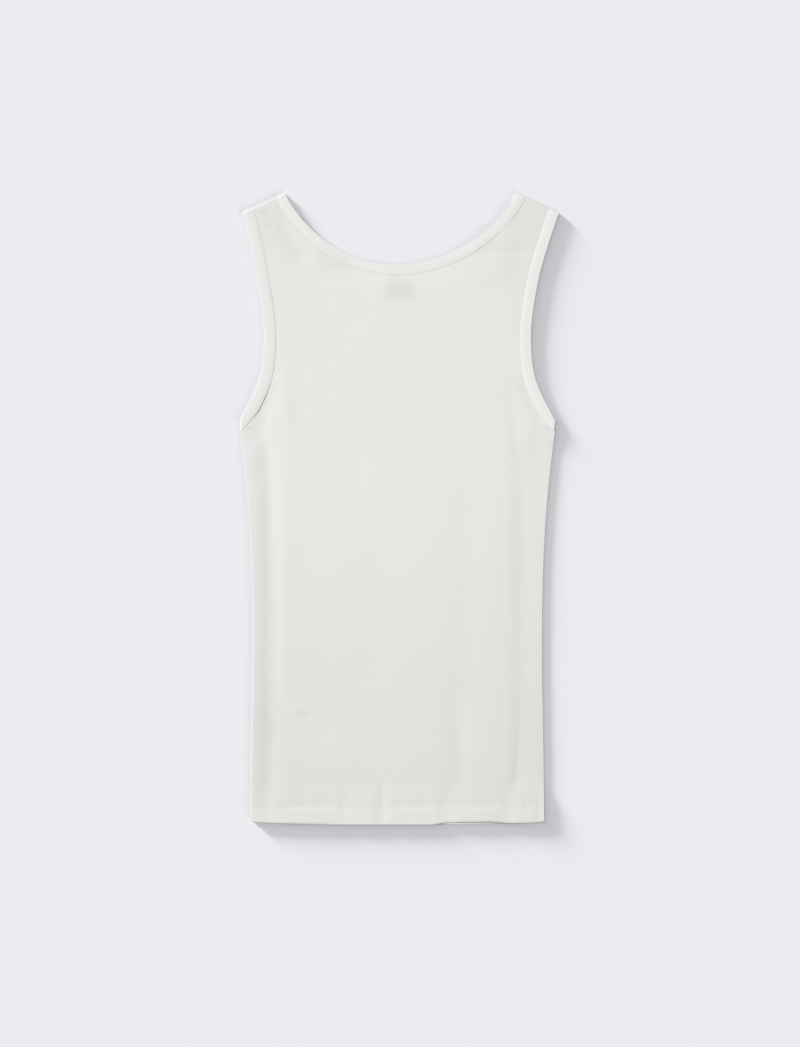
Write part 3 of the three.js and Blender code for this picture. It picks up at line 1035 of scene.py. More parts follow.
@dataclass(frozen=True)
class TableFinish:
    """Matt sprayed board: a plain pale surface with the faintest mottle and no gloss."""

    name: str = "matt_sprayed_board"
    colour: str = "#EBEAEF"
    deeper: str = "#EAE9EE"
    grain: float = 0.5

    def build(self) -> bpy.types.Material:
        """Returns the finish as a material."""
        material = empty_material(self.name)
        tree = material.node_tree
        place = add_node(tree, "ShaderNodeTexCoord").outputs["Object"]
        mottle = {"Vector": place, "Scale": 1 / (self.grain * MM), "Detail": 2.0}
        spots = add_node(tree, "ShaderNodeTexNoise", mottle).outputs[0]
        colour = blend(tree, spots, linear(self.deeper), linear(self.colour))
        looks = {"Base Color": colour, "Roughness": 1.0, "Specular IOR Level": 0.0}
        return finished(material, looks)


def dress(piece: bpy.types.Object, material: bpy.types.Material, slot: Slot, *nodes: str) -> None:
    """Gives a piece its finish and its place in the frame.

    Args:
        piece: The piece.
        material: Its finish.
        slot: The record's material slot, not used.
        nodes: The CAD nodes that it stands for.
    """
    piece.data.materials.append(material)
    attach(piece, BODY)
    if nodes:
        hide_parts(*nodes)
    log.info("%s: %d faces", piece.name, len(piece.data.polygons))


# ---------------------------------------------------------------- cloth panels


class Side(Enum):
    """Which of the two cloths a panel is."""

    BACK = "back"
    FRONT = "front"


def distance_to(points: np.ndarray, line: np.ndarray) -> np.ndarray:
    """Finds how far points are from the nearest of a line's points.

    Args:
        points: Rows of x and y.
        line: Rows of x and y.

    Returns:
        The distance of each point.
    """
    nearest = np.full(len(points), np.inf)
    for start in range(0, len(line), LINE_CHUNK):
        some = line[start : start + LINE_CHUNK]
        gaps = np.linalg.norm(points[:, None, :] - some[None, :, :], axis=2)
        nearest = np.minimum(nearest, gaps.min(axis=1))
    return nearest


def clipped(points: np.ndarray, keep: np.ndarray) -> np.ndarray:
    """Cuts a polyline exactly where a measure along it passes 0.

    Args:
        points: The polyline.
        keep: The measure at each point: those above 0 are kept.

    Returns:
        The kept stretch, with the crossing as its end.
    """
    kept = points[keep > 0]
    k = np.flatnonzero(np.diff(np.sign(keep)))
    if not len(k):
        return kept
    k = int(k[0])
    share = keep[k] / (keep[k] - keep[k + 1])
    crossing = points[k] + (points[k + 1] - points[k]) * share
    return np.vstack([kept, crossing]) if keep[k] > 0 else np.vstack([crossing, kept])


def closed_shell(
    middle: np.ndarray, tri: np.ndarray, thickness: float
) -> tuple[np.ndarray, list, np.ndarray]:
    """Thickens a sheet into a closed shell with rounded edges.

    Args:
        middle: The sheet's points.
        tri: Its triangles, as rows of point numbers.
        thickness: The shell's thickness.

    Returns:
        The shell's points, its faces, and the sheet's point that each of its points stands for.
    """
    cross = np.cross(middle[tri[:, 1]] - middle[tri[:, 0]], middle[tri[:, 2]] - middle[tri[:, 0]])
    normals = np.zeros_like(middle)
    for k in range(3):
        np.add.at(normals, tri[:, k], cross)
    normals = unit(normals)
    half = thickness / 2
    directed = {(int(f[k]), int(f[(k + 1) % 3])) for f in tri for k in range(3)}
    rim = sorted(edge for edge in directed if (edge[1], edge[0]) not in directed)
    count = len(middle)
    outward = np.zeros_like(middle)
    for start, end in rim:
        way = np.cross(middle[end] - middle[start], normals[start] + normals[end])
        outward[start] += unit(way)
        outward[end] += unit(way)
    at_rim = np.array(sorted({v for edge in rim for v in edge}))
    number = {int(v): 2 * count + k for k, v in enumerate(at_rim)}
    rim_points = middle[at_rim] + unit(outward[at_rim]) * half * RIM_BULGE
    verts = np.concatenate([middle + normals * half, middle - normals * half, rim_points])
    shell = [tuple(f) for f in tri] + [tuple(f) for f in tri[:, ::-1] + count]
    for start, end in rim:
        shell.append((end, start, number[start], number[end]))
        shell.append((number[end], number[start], start + count, end + count))
    origin = np.concatenate([np.arange(count), np.arange(count), at_rim])
    return verts, shell, origin


@dataclass(frozen=True)
class Fineness:
    """How close a cloth's points are, and how far its rows of points keep apart."""

    grid: float = 2.45
    across_folds: float = 1.3
    beside_seams: tuple[float, ...] = (0.35, 0.8, 1.5, 2.6)
    hem_turns: int = 7
    groove: tuple[float, ...] = (-1.6, 0.0, 1.8)
    strap_rows: int = 20
    strap_rows_wide: float = 60.0
    strap_rows_from: float = -3.0
    strap_rows_short: float = 0.7
    strap_rows_clear: float = 0.8
    seam_rows_skip: int = 3
    closest: float = 0.02
    grid_to_outline: float = 0.9
    grid_to_seams: float = 1.1
    grid_to_folds: float = 0.8
    folds_to_outline: float = 0.45
    seams_to_outline: float = 0.2


@dataclass
class ClothPanel:
    """One panel of knit with its hem turned up inside, drawn as a thin closed shell."""

    side: Side
    pattern: Pattern
    relief: Relief
    placement: Placement
    fineness: Fineness = Fineness()
    hem_fold_radius: float = 0.45
    hem_axis_up: float = 0.82
    tuck: float = 0.06
    seam_dip: float = 0.08
    seam_dip_wide: float = 1.1
    bead_share: float = 0.2
    bead_pitch: float = 2.1
    back_short: float = 0.05
    front_uneven: float = 0.06
    straps_above: float = 540.0
    strap_corner: tuple[float, float] = (60.0, 560.0)
    area: float = field(default=0.0, init=False)
    flat_size: tuple[float, float] = field(default=(0.0, 0.0), init=False)

    @property
    def is_back(self) -> bool:
        """Returns whether this is the back."""
        return self.side is Side.BACK

    @property
    def strap_radius(self) -> float:
        """Returns the radius of the front cloth's middle where it goes over the strap's end."""
        return self.pattern.loft / 2

    @property
    def strap_wrap(self) -> float:
        """Returns how much cloth goes round the strap's fold."""
        return math.pi * self.strap_radius

    @property
    def shoulder_down(self) -> float:
        """Returns how far below the strap's fold axis the shoulder seam is."""
        return self.pattern.shoulder_seam_down - self.pattern.fold_reach

    def neck(self) -> Edge:
        """Returns this panel's neck edge."""
        p = self.pattern
        if self.is_back:
            return p.neck_edge(p.back_neck_up, p.back_neck_reach)
        return p.neck_edge(p.front_neck_up, p.front_neck_reach)

    def below_fold(self, points: np.ndarray) -> np.ndarray:
        """Returns how far points are below the right strap's fold axis."""
        return -((points - self.pattern.strap_outer_fold) @ self.pattern.strap_up)

    def edges_inside(self) -> tuple[np.ndarray, np.ndarray]:
        """Returns the right armhole's and the right half of the neck's cut edges, at the bands."""
        p = self.pattern
        armhole = p.armhole_edge().inset(self.tuck + p.armhole_band)
        neck = self.neck().inset(self.tuck + p.neck_band)
        return armhole, neck[len(neck) // 2 :]

    def strap_end(self, armhole: np.ndarray, neck: np.ndarray) -> np.ndarray:
        """Works out the front's cut beyond the strap's fold.

        Args:
            armhole: The armhole's cut edge.
            neck: The neck's cut edge.

        Returns:
            The outline of the strap's end, from the armhole to the neck.
        """
        ends = []
        for line in (armhole[::-1], neck[::-1]):
            down = self.below_fold(line)
            near = clipped(line, self.shoulder_down - down)
            past = 2 * self.below_fold(near) + self.strap_wrap
            ends.append(near + self.pattern.strap_up * past[:, None])
        return np.concatenate([ends[0], ends[1][::-1]])

    def outline(self) -> np.ndarray:
        """Works out the panel as cut, with its hem allowance and, on the front, its strap ends.

        Returns:
            Its outline in cloth coordinates, counter-clockwise, without its first point again.
        """
        p = self.pattern
        armhole, neck = self.edges_inside()
        strap = np.empty((0, 2))
        if self.is_back:
            seam = self.shoulder_down + self.back_short
            armhole = clipped(armhole, self.below_fold(armhole) - seam)
            neck = clipped(neck, self.below_fold(neck) - seam)
        else:
            strap = self.strap_end(armhole, neck)
        half = p.side_sections[0][0]
        hem_x = np.arange(0.0, half, self.fineness.grid)
        allowance = p.hem_deep + math.pi * self.hem_fold_radius - self.hem_axis_up
        hem = np.stack([hem_x, p.hem_line(hem_x) - allowance], 1)
        corner_up = np.arange(p.hem_bow - allowance, p.hem_bow, self.fineness.across_folds)
        corner = np.stack([np.full_like(corner_up, half), corner_up], 1)
        right = np.concatenate([hem, corner, p.side_line(), armhole, strap, neck[::-1]])
        apart = np.linalg.norm(np.diff(right, axis=0), axis=1) > self.fineness.closest
        right = right[np.concatenate([[True], apart])]
        left = right[1:-1][::-1] * (-1.0, 1.0)
        return np.concatenate([right, left])

    def folded_rows(self) -> np.ndarray:
        """Works out the close rows of points along the hem's fold and over the straps' folds.

        Returns:
            The points, in cloth coordinates.
        """
        p, fineness = self.pattern, self.fineness
        half = p.side_sections[0][0] - fineness.grid_to_outline
        x = np.linspace(-half, half, int(2 * half / fineness.grid))
        wrap = math.pi * self.hem_fold_radius
        rows = [
            np.stack([x, p.hem_line(x) + self.hem_axis_up - wrap * turn], 1)
            for turn in np.linspace(0.0, 1.0, fineness.hem_turns)
        ]
        rows += [np.stack([x, np.full_like(x, p.hem_deep + up)], 1) for up in fineness.groove]
        if not self.is_back:
            last = self.strap_wrap + self.shoulder_down - fineness.strap_rows_short
            starts = p.armhole_band + fineness.grid_to_outline
            steps = np.arange(starts, fineness.strap_rows_wide, fineness.across_folds)
            for past in np.linspace(fineness.strap_rows_from, last, fineness.strap_rows):
                line = p.strap_outer_fold + np.outer(steps, p.strap_top) + p.strap_up * past
                rows += [line, line * (-1.0, 1.0)]
        return np.concatenate(rows)

    def seam_rows(self) -> np.ndarray:
        """Works out the close rows of points beside the bands' seams.

        Returns:
            The points, in cloth coordinates, apart from those on a strap's end.
        """
        p, fineness = self.pattern, self.fineness
        armhole, neck = p.armhole_edge(), self.neck()
        lines = []
        for out in fineness.beside_seams:
            for edge in (armhole, armhole.mirrored()):
                lines.append(edge.inset(self.tuck + p.armhole_band + out)[fineness.seam_rows_skip :])
            lines.append(neck.inset(self.tuck + p.neck_band + out))
        beside = np.concatenate(lines)
        clear = self.shoulder_down + fineness.strap_rows_clear
        below = self.below_fold(np.abs(beside)) < clear
        on_strap_end = below & (beside[:, 1] > self.straps_above)
        return beside[~on_strap_end]

    def cut(self) -> tuple[np.ndarray, np.ndarray]:
        """Fills the outline with an even mesh, closer along the seams and folds.

        Returns:
            Points in cloth coordinates, and triangles of their numbers.
        """
        fineness = self.fineness
        outline = self.outline()
        wide = np.abs(outline[:, 0]).max()
        low, high = outline[:, 1].min(), outline[:, 1].max()
        rows = np.arange(low, high, fineness.grid * math.sqrt(3) / 2)
        x, y = np.meshgrid(np.arange(-wide, wide, fineness.grid), rows)
        x[1::2] += fineness.grid / 2
        grid = np.stack([x.ravel(), y.ravel()], 1)
        beside, folded = self.seam_rows(), self.folded_rows()
        grid = grid[distance_to(grid, outline) > fineness.grid_to_outline]
        grid = grid[distance_to(grid, beside) > fineness.grid_to_seams]
        grid = grid[distance_to(grid, folded) > fineness.grid_to_folds]
        folded = folded[distance_to(folded, outline) > fineness.folds_to_outline]
        beside = beside[distance_to(beside, outline) > fineness.seams_to_outline]
        inner = np.concatenate([grid, beside, folded])
        points = [Vector(row) for row in np.concatenate([outline, inner]).tolist()]
        made = delaunay_2d_cdt(points, [], [list(range(len(outline)))], 1, 1e-4)
        used, faces = np.unique(np.array(made[2]), return_inverse=True)
        return np.array([tuple(made[0][k]) for k in used]), faces.reshape(-1, 3)

    def dip(self, flat: np.ndarray) -> np.ndarray:
        """Returns how far the cloth dips into the seams round its neck and armholes."""
        p = self.pattern
        armhole = p.armhole_edge()
        lines = [armhole.inset(p.armhole_band), armhole.mirrored().inset(p.armhole_band)]
        lines.append(self.neck().inset(p.neck_band))
        from_seam = distance_to(flat, np.concatenate(lines))
        beads = np.sin((flat[:, 0] + flat[:, 1]) * self.bead_pitch)
        beads = 1 - self.bead_share + self.bead_share * beads
        return -self.seam_dip * beads * np.exp(-((from_seam / self.seam_dip_wide) ** 2))

    def lay(self, flat: np.ndarray) -> np.ndarray:
        """Lays the cut cloth down: its middle surface, with hem and strap ends folded over.

        Args:
            flat: Points in cloth coordinates.

        Returns:
            Points in pattern coordinates with their height above the table.
        """
        p = self.pattern
        x, y = flat[:, 0].copy(), flat[:, 1].copy()
        axis_y = p.hem_line(x) + self.hem_axis_up
        radius = self.hem_fold_radius
        beyond = axis_y - y
        turn = np.clip(beyond / radius, 0.0, math.pi)
        past = np.maximum(beyond - math.pi * radius, 0.0)
        in_hem = beyond > 0
        y = np.where(in_hem, axis_y - radius * np.sin(turn) + past, y)
        drop = radius * (1 - np.cos(turn))
        if self.is_back:
            above = np.where(in_hem, axis_y + past, y)
            height = self.relief.under_back(x, above) + p.cloth / 2 - drop + self.dip(flat)
            return np.stack([x, y + self.relief.pushed_up(x, y), height], 1)
        uneven = self.front_uneven * (1 + soft_noise(x, y, 33.0, 51.0, 5))
        height = p.cloth / 2 + drop + uneven
        return self._over_straps(np.stack([x, y, height], 1))

    def _over_straps(self, laid: np.ndarray) -> np.ndarray:
        """Folds the front's strap ends over on to the back.

        Args:
            laid: Points with their heights, strap ends still flat.

        Returns:
            The points with the ends folded over.
        """
        radius = self.strap_radius
        up = self.pattern.strap_up
        beyond, above = self.strap_corner
        for mirror in (1.0, -1.0):
            flip = np.array([mirror, 1.0])
            past = -self.below_fold(laid[:, :2] * flip)
            over = (laid[:, 0] * mirror > beyond) & (past > 0) & (laid[:, 1] > above)
            turn = np.clip(past / radius, 0.0, math.pi)
            back = np.maximum(past - math.pi * radius, 0.0)
            out = radius * np.sin(turn) - back - past
            moved = laid[:, :2] + (out[:, None] * up) * flip
            rise = laid[:, 2] + radius * (1 - np.cos(turn))
            laid[over, :2] = moved[over]
            laid[over, 2] = rise[over]
        return laid

    def build(self, material: bpy.types.Material) -> bpy.types.Object:
        """Makes the panel as a closed shell.

        Args:
            material: Its finish.

        Returns:
            The piece.
        """
        flat, faces = self.cut()
        corners = flat[faces]
        a, b = corners[:, 1] - corners[:, 0], corners[:, 2] - corners[:, 0]
        self.area = float(np.abs(a[:, 0] * b[:, 1] - a[:, 1] * b[:, 0]).sum() / 2) * MM * MM
        size = (flat.max(axis=0) - flat.min(axis=0)) * MM
        self.flat_size = (float(size[0]), float(size[1]))
        verts, shell, origin = closed_shell(self.lay(flat), faces, self.pattern.cloth_drawn)
        name = f"{self.side.value}_cloth"
        rim = len(shell) - 2 * len(faces)
        piece = new_piece(name, self.placement.place(verts), shell, flat[origin], rim)
        dress(piece, material, Slot.BODY_KNIT, f"{self.side.value}_panel")
        return piece


# ---------------------------------------------------------------- bands


def looped(rings: list[np.ndarray], closed: bool = True) -> np.ndarray:
    """Joins rings of points into quads.

    Args:
        rings: Rings with the same number of points.
        closed: Whether the last ring joins the first.

    Returns:
        The quads, as rows of point numbers.
    """
    count = len(rings[0])
    numbers = np.arange(len(rings) * count).reshape(len(rings), count)
    after = np.roll(numbers, -1, axis=0)
    quads = np.stack([numbers, np.roll(numbers, -1, 1), np.roll(after, -1, 1), after], -1)
    return (quads if closed else quads[:-1]).reshape(-1, 4)


def capped(rings: list[np.ndarray]) -> list[list[int]]:
    """Joins rings of points into a tube that is closed at both ends.

    Args:
        rings: Rings with the same number of points.

    Returns:
        Its faces, as lists of point numbers.
    """
    count = len(rings[0])
    first = list(range(count))
    last = [number + count * (len(rings) - 1) for number in first]
    return looped(rings, closed=False).tolist() + [first[::-1], last]


def facing_out(verts: np.ndarray, quads: np.ndarray) -> np.ndarray:
    """Returns a closed mesh's quads with their faces pointing out."""
    a, b, c, d = (verts[quads[:, k]] for k in range(4))
    parts = np.einsum("ij,ij->i", a, np.cross(b, c)) + np.einsum("ij,ij->i", a, np.cross(c, d))
    return quads if parts.sum() > 0 else quads[:, ::-1]


@dataclass
class Band:
    """A strip of knit folded in two and sewn round an opening, going over the folded edges."""

    name: str
    node: str
    wide: float
    pattern: Pattern
    relief: Relief
    placement: Placement
    fold_stations: int = 11
    crown: float = 0.08
    edge_round: float = 0.14
    fold_angles: tuple = (0, 25, 50, 70, 90)
    past_fold: tuple[float, float] = (0.1, 0.005)
    over_crown: tuple = ((0.14, 0.5), (0.35, 1.0), (0.62, 1.0))
    to_seam: tuple = ((1.3, 0.13), (0.5, 0.20), (0.15, 0.28), (0.0, 0.45))
    crown_ends: tuple[float, float] = (2.6, 0.3)
    seam_edge: float = 0.2
    pucker: float = 0.05
    pucker_every: float = 3.4
    drawn_in: tuple[float, float] = (1.4, 1.5)
    knit_starts: float = 600.0

    def section(self) -> np.ndarray:
        """Works out the strip's section.

        Returns:
            Rows of distance from the folded edge and height from the middle, all round.
        """
        half, wide, r = self.pattern.folded_strip / 2, self.wide, self.edge_round
        angles = np.radians(self.fold_angles)
        upper = [(r - r * math.cos(a), half * math.sin(a)) for a in angles]
        upper.append((r + self.past_fold[0], half + self.past_fold[1]))
        upper += [(wide * share, half + self.crown * rise) for share, rise in self.over_crown]
        upper.append((wide - self.crown_ends[0], half + self.crown * self.crown_ends[1]))
        upper += [(wide - away, half - drop) for away, drop in self.to_seam]
        upper.append((wide, half * self.seam_edge))
        lower = [(across, -through) for across, through in reversed(upper[1:])]
        return np.array(upper + lower)

    def ring(
        self, edge: np.ndarray, inward: np.ndarray, out: np.ndarray, lean: float, pull: float
    ) -> np.ndarray:
        """Places one section of the strip.

        Args:
            edge: Where the folded edge is.
            inward: The way from it into the cloth.
            out: The outward way of a fold that the strip goes over.
            lean: 0 on the upper layer, half a turn on the lower one.
            pull: How much the stitches draw the strip in here.

        Returns:
            The section's points with their heights.
        """
        p = self.pattern
        section = self.section()
        across, through = section[:, :1], section[:, 1:].copy()
        away, soft = self.drawn_in
        near_seam = np.exp(-(((across - self.wide + away) / soft) ** 2))
        through -= np.sign(through) * self.pucker * pull * near_seam
        xy = edge + inward * across + np.asarray(out) * (math.sin(lean) * (p.fold_radius + through))
        if lean == 0.0:
            z = self.relief.band_middle(xy[:, 0], xy[:, 1])[:, None] + through
        else:
            middle = p.folded_strip / 2 + p.fold_radius
            z = np.maximum(middle + math.cos(lean) * (p.fold_radius + through), 0.0)
        return np.concatenate([xy, z], 1)

    def layer(self, edge: Edge, lean: float) -> list[np.ndarray]:
        """Places the strip's sections along one flat layer, drawn in unevenly by its stitches."""
        along = np.arange(len(edge.points)) * self.pattern.step
        pull = 1 + np.sin(along * 2 * math.pi / self.pucker_every) + soft_noise(along, along, 9, 9, 4)
        still = np.zeros(2)
        rows = zip(edge.points, edge.inward, pull)
        return [self.ring(point, inward, still, lean, share) for point, inward, share in rows]

    def over_fold(
        self, edge: np.ndarray, inward: np.ndarray, out: np.ndarray, start: float
    ) -> list[np.ndarray]:
        """Places the strip's sections over one fold, half a turn on from start."""
        turns = [math.pi * k / (self.fold_stations + 1) for k in range(1, self.fold_stations + 1)]
        return [self.ring(edge, inward, out, start + turn, 1.0) for turn in turns]

    def build(self, rings: list[np.ndarray], material: bpy.types.Material) -> bpy.types.Object:
        """Joins the looped rings into the band.

        Args:
            rings: Its sections, in order round the opening.
            material: Its finish.

        Returns:
            The piece.
        """
        hidden = len(rings) * 3 // 4
        rings = rings[hidden:] + rings[:hidden]
        verts = np.concatenate(rings)
        faces = facing_out(verts, looped(rings))
        round_strip = self.knit_starts + lengths_along(self.section())
        along = lengths_along(np.array([ring.mean(axis=0) for ring in rings]))
        cut = np.stack([np.repeat(along, len(round_strip)), np.tile(round_strip, len(rings))], 1)
        piece = new_piece(self.name, self.placement.place(verts), faces, cut)
        dress(piece, material, Slot.BAND_KNIT, self.node)
        return piece


@dataclass
class Bands:
    """The three folded strips."""

    pattern: Pattern
    relief: Relief
    placement: Placement

    def neck(self, material: bpy.types.Material) -> bpy.types.Object:
        """Makes the strip round the neck."""
        p = self.pattern
        band = Band("neck_strip", "neck_band", p.neck_band, p, self.relief, self.placement)
        back = p.neck_edge(p.back_neck_up, p.back_neck_reach)
        front = p.neck_edge(p.front_neck_up, p.front_neck_reach).reversed()
        up = p.strap_up
        rings = band.layer(back, 0.0)
        rings += band.over_fold(back.points[-1], back.inward[-1], up, 0.0)
        rings += band.layer(front, math.pi)
        rings += band.over_fold(back.points[0], back.inward[0], up * (1.0, -1.0), math.pi)
        return band.build(rings, material)

    def armhole(self, mirror: bool, material: bpy.types.Material) -> bpy.types.Object:
        """Makes the strip round one armhole.

        Args:
            mirror: Whether it is the left one.
            material: Its finish.

        Returns:
            The piece.
        """
        p = self.pattern
        side, flip = hand(mirror)
        name, node = f"{side}_armhole_strip", f"{side}_armhole_band"
        band = Band(name, node, p.armhole_band, p, self.relief, self.placement)
        back = p.armhole_edge().mirrored() if mirror else p.armhole_edge()
        rings = band.layer(back, 0.0)
        rings += band.over_fold(back.points[-1], back.inward[-1], p.strap_up * flip, 0.0)
        rings += band.layer(back.reversed(), math.pi)
        rings += band.over_fold(back.points[0], back.inward[0], -p.side_out * flip, math.pi)
        return band.build(rings, material)


# ---------------------------------------------------------------- sewing


@dataclass
class Thread:
    """A row of short stitches that rise out of the cloth and go back into it."""

    long: float = 2.1
    every: float = 2.75
    thick: float = 0.34
    proud: float = 0.07
    sunk: float = 0.16
    taper: float = 0.35
    sides: int = 6
    rings: int = 5

    def row(self, path: np.ndarray, up: float) -> tuple[list, list]:
        """Makes the stitches along one path.

        Args:
            path: Points on the cloth's surface, with heights.
            up: 1 where the cloth's outside faces up, -1 where it faces down.

        Returns:
            Each stitch's points, and the faces of all the stitches.
        """
        along = lengths_along(path)
        starts = np.arange(self.every / 2, along[-1] - self.long, self.every)
        verts, faces = [], []
        around = np.arange(self.sides) * 2 * math.pi / self.sides
        for start in starts:
            at = start + np.linspace(0.0, self.long, self.rings)
            middle = np.stack([np.interp(at, along, path[:, k]) for k in range(3)], 1)
            arch = np.sin(np.linspace(0.0, math.pi, self.rings))
            middle[:, 2] += up * (self.proud * arch - self.sunk * (1 - arch))
            ahead = unit(np.gradient(middle, axis=0))
            across = unit(np.cross(ahead, (0.0, 0.0, 1.0)))
            over = np.cross(across, ahead)
            radius = self.thick / 2 * (self.taper + (1 - self.taper) * arch)
            rings = []
            for k in range(self.rings):
                ring = np.outer(np.cos(around), across[k]) + np.outer(np.sin(around), over[k])
                rings.append(middle[k] + radius[k] * ring)
            count = len(verts) * self.sides * self.rings
            verts.append(np.concatenate(rings))
            faces += [[number + count for number in face[::-1]] for face in capped(rings)]
        return verts, faces


@dataclass
class Sewing:
    """The stitches that show: round the bands, along the hem, at the label and the underarms."""

    pattern: Pattern
    relief: Relief
    placement: Placement
    back: ClothPanel
    thread: Thread
    beside: float = 0.95
    clear_of_folds: int = 7
    dip_share: float = 0.45
    dips_above: float = 30.0
    under_crown: float = 0.17
    front_outside: float = 0.25
    hem_row_down: float = 1.2
    hem_row_in: float = 3.0
    underarm_rows: tuple[float, ...] = (0.0, 1.1)
    underarm_reach: tuple[float, float] = (2.0, 10.5)
    label_tack_in: float = 8.0
    label_tack_half: float = 3.6
    label_tack_down: float = 1.3

    def on_back(self, line: np.ndarray) -> np.ndarray:
        """Lifts a line to the top of the back cloth."""
        x, y = line.T
        middle = self.relief.under_back(x, y) + self.pattern.cloth / 2
        dip = self.back.seam_dip * self.dip_share * (y > self.dips_above)
        top = middle + self.pattern.cloth_drawn / 2 - dip
        return np.column_stack([x, y + self.relief.pushed_up(x, y), top])

    def on_band(self, line: np.ndarray) -> np.ndarray:
        """Lifts a line to the top of a band."""
        half = self.pattern.folded_strip / 2
        top = self.relief.band_middle(line[:, 0], line[:, 1]) + half - self.under_crown
        return np.column_stack([line, top])

    def under_front(self, line: np.ndarray) -> np.ndarray:
        """Puts a line on the outside of the front, which faces down."""
        return np.column_stack([line, np.full(len(line), self.front_outside)])

    def build(self, name: str, rows: list, material: bpy.types.Material) -> bpy.types.Object:
        """Makes one piece of all the rows of stitches of one seam.

        Args:
            name: The piece's name.
            rows: Paths with 1 or -1 for the side that they show on.
            material: The thread's finish.

        Returns:
            The piece.
        """
        verts, faces, count = [], [], 0
        for path, up in rows:
            row_verts, row_faces = self.thread.row(path, up)
            faces += [[v + count for v in f] for f in row_faces]
            verts += row_verts
            count += sum(len(v) for v in row_verts)
        piece = new_piece(name, self.placement.place(np.concatenate(verts)), faces)
        dress(piece, material, Slot.BAND_KNIT)
        return piece

    def neck(self, material: bpy.types.Material) -> bpy.types.Object:
        """Sews the neck band on with a row of stitches each side of its seam."""
        p = self.pattern
        back = p.neck_edge(p.back_neck_up, p.back_neck_reach)
        front = p.neck_edge(p.front_neck_up, p.front_neck_reach)
        keep = slice(self.clear_of_folds, -self.clear_of_folds)
        rows = [
            (self.on_back(back.inset(p.neck_band + self.beside)[keep]), 1.0),
            (self.on_band(back.inset(p.neck_band - self.beside)[keep]), 1.0),
            (self.under_front(front.inset(p.neck_band + self.beside)[keep]), -1.0),
        ]
        return self.build("neck_stitching", rows, material)

    def armhole(self, mirror: bool, material: bpy.types.Material) -> bpy.types.Object:
        """Sews one armhole band on with a row of stitches beside its seam.

        Args:
            mirror: Whether it is the left one.
            material: The thread's finish.

        Returns:
            The piece.
        """
        p = self.pattern
        edge = p.armhole_edge().mirrored() if mirror else p.armhole_edge()
        keep = slice(self.clear_of_folds, -self.clear_of_folds)
        line = edge.inset(p.armhole_band + self.beside)[keep]
        rows = [(self.on_back(line), 1.0), (self.under_front(line), -1.0)]
        rows += self.underarm_tack(mirror)
        return self.build(f"{hand(mirror)[0]}_armhole_stitching", rows, material)

    def underarm_tack(self, mirror: bool) -> list:
        """Works out the short tack that holds a band's seam at the underarm.

        Args:
            mirror: Whether it is on the left.

        Returns:
            Its rows of stitches.
        """
        p = self.pattern
        flip = hand(mirror)[1]
        start = p.underarm_fold + p.side_down * (p.armhole_band - 1.0)
        inward = p.armhole_edge().inward[0]
        across = np.array([inward[1], -inward[0]])
        across = across if across[0] < 0 else -across
        reach = np.outer(np.linspace(*self.underarm_reach, 8), across)
        lines = [start + reach - p.side_down * step for step in self.underarm_rows]
        return [(self.on_band(line * flip), 1.0) for line in lines]

    def hem(self, material: bpy.types.Material) -> bpy.types.Object:
        """Sews the hem with one row of stitches on each side of the top."""
        p = self.pattern
        half = p.side_sections[0][0] - self.hem_row_in
        x = np.arange(-half, half, p.step)
        line = np.column_stack([x, np.full_like(x, p.hem_deep - self.hem_row_down)])
        rows = [(self.on_back(line), 1.0), (self.under_front(line), -1.0)]
        return self.build("hem_stitching", rows, material)

    def label(self, label: "NeckLabel", material: bpy.types.Material) -> bpy.types.Object:
        """Tacks the label's top edge through the back cloth.

        Args:
            label: The label.
            material: The thread's finish.

        Returns:
            The piece.
        """
        rows = []
        for side in (-1.0, 1.0):
            middle = label.centre + side * (label.wide / 2 - self.label_tack_in)
            x = middle + np.linspace(-self.label_tack_half, self.label_tack_half, 8)
            line = np.column_stack([x, np.full_like(x, label.top - self.label_tack_down)])
            rows.append((self.on_back(line), 1.0))
        return self.build("label_tacks", rows, material)


# ---------------------------------------------------------------- label and side seams


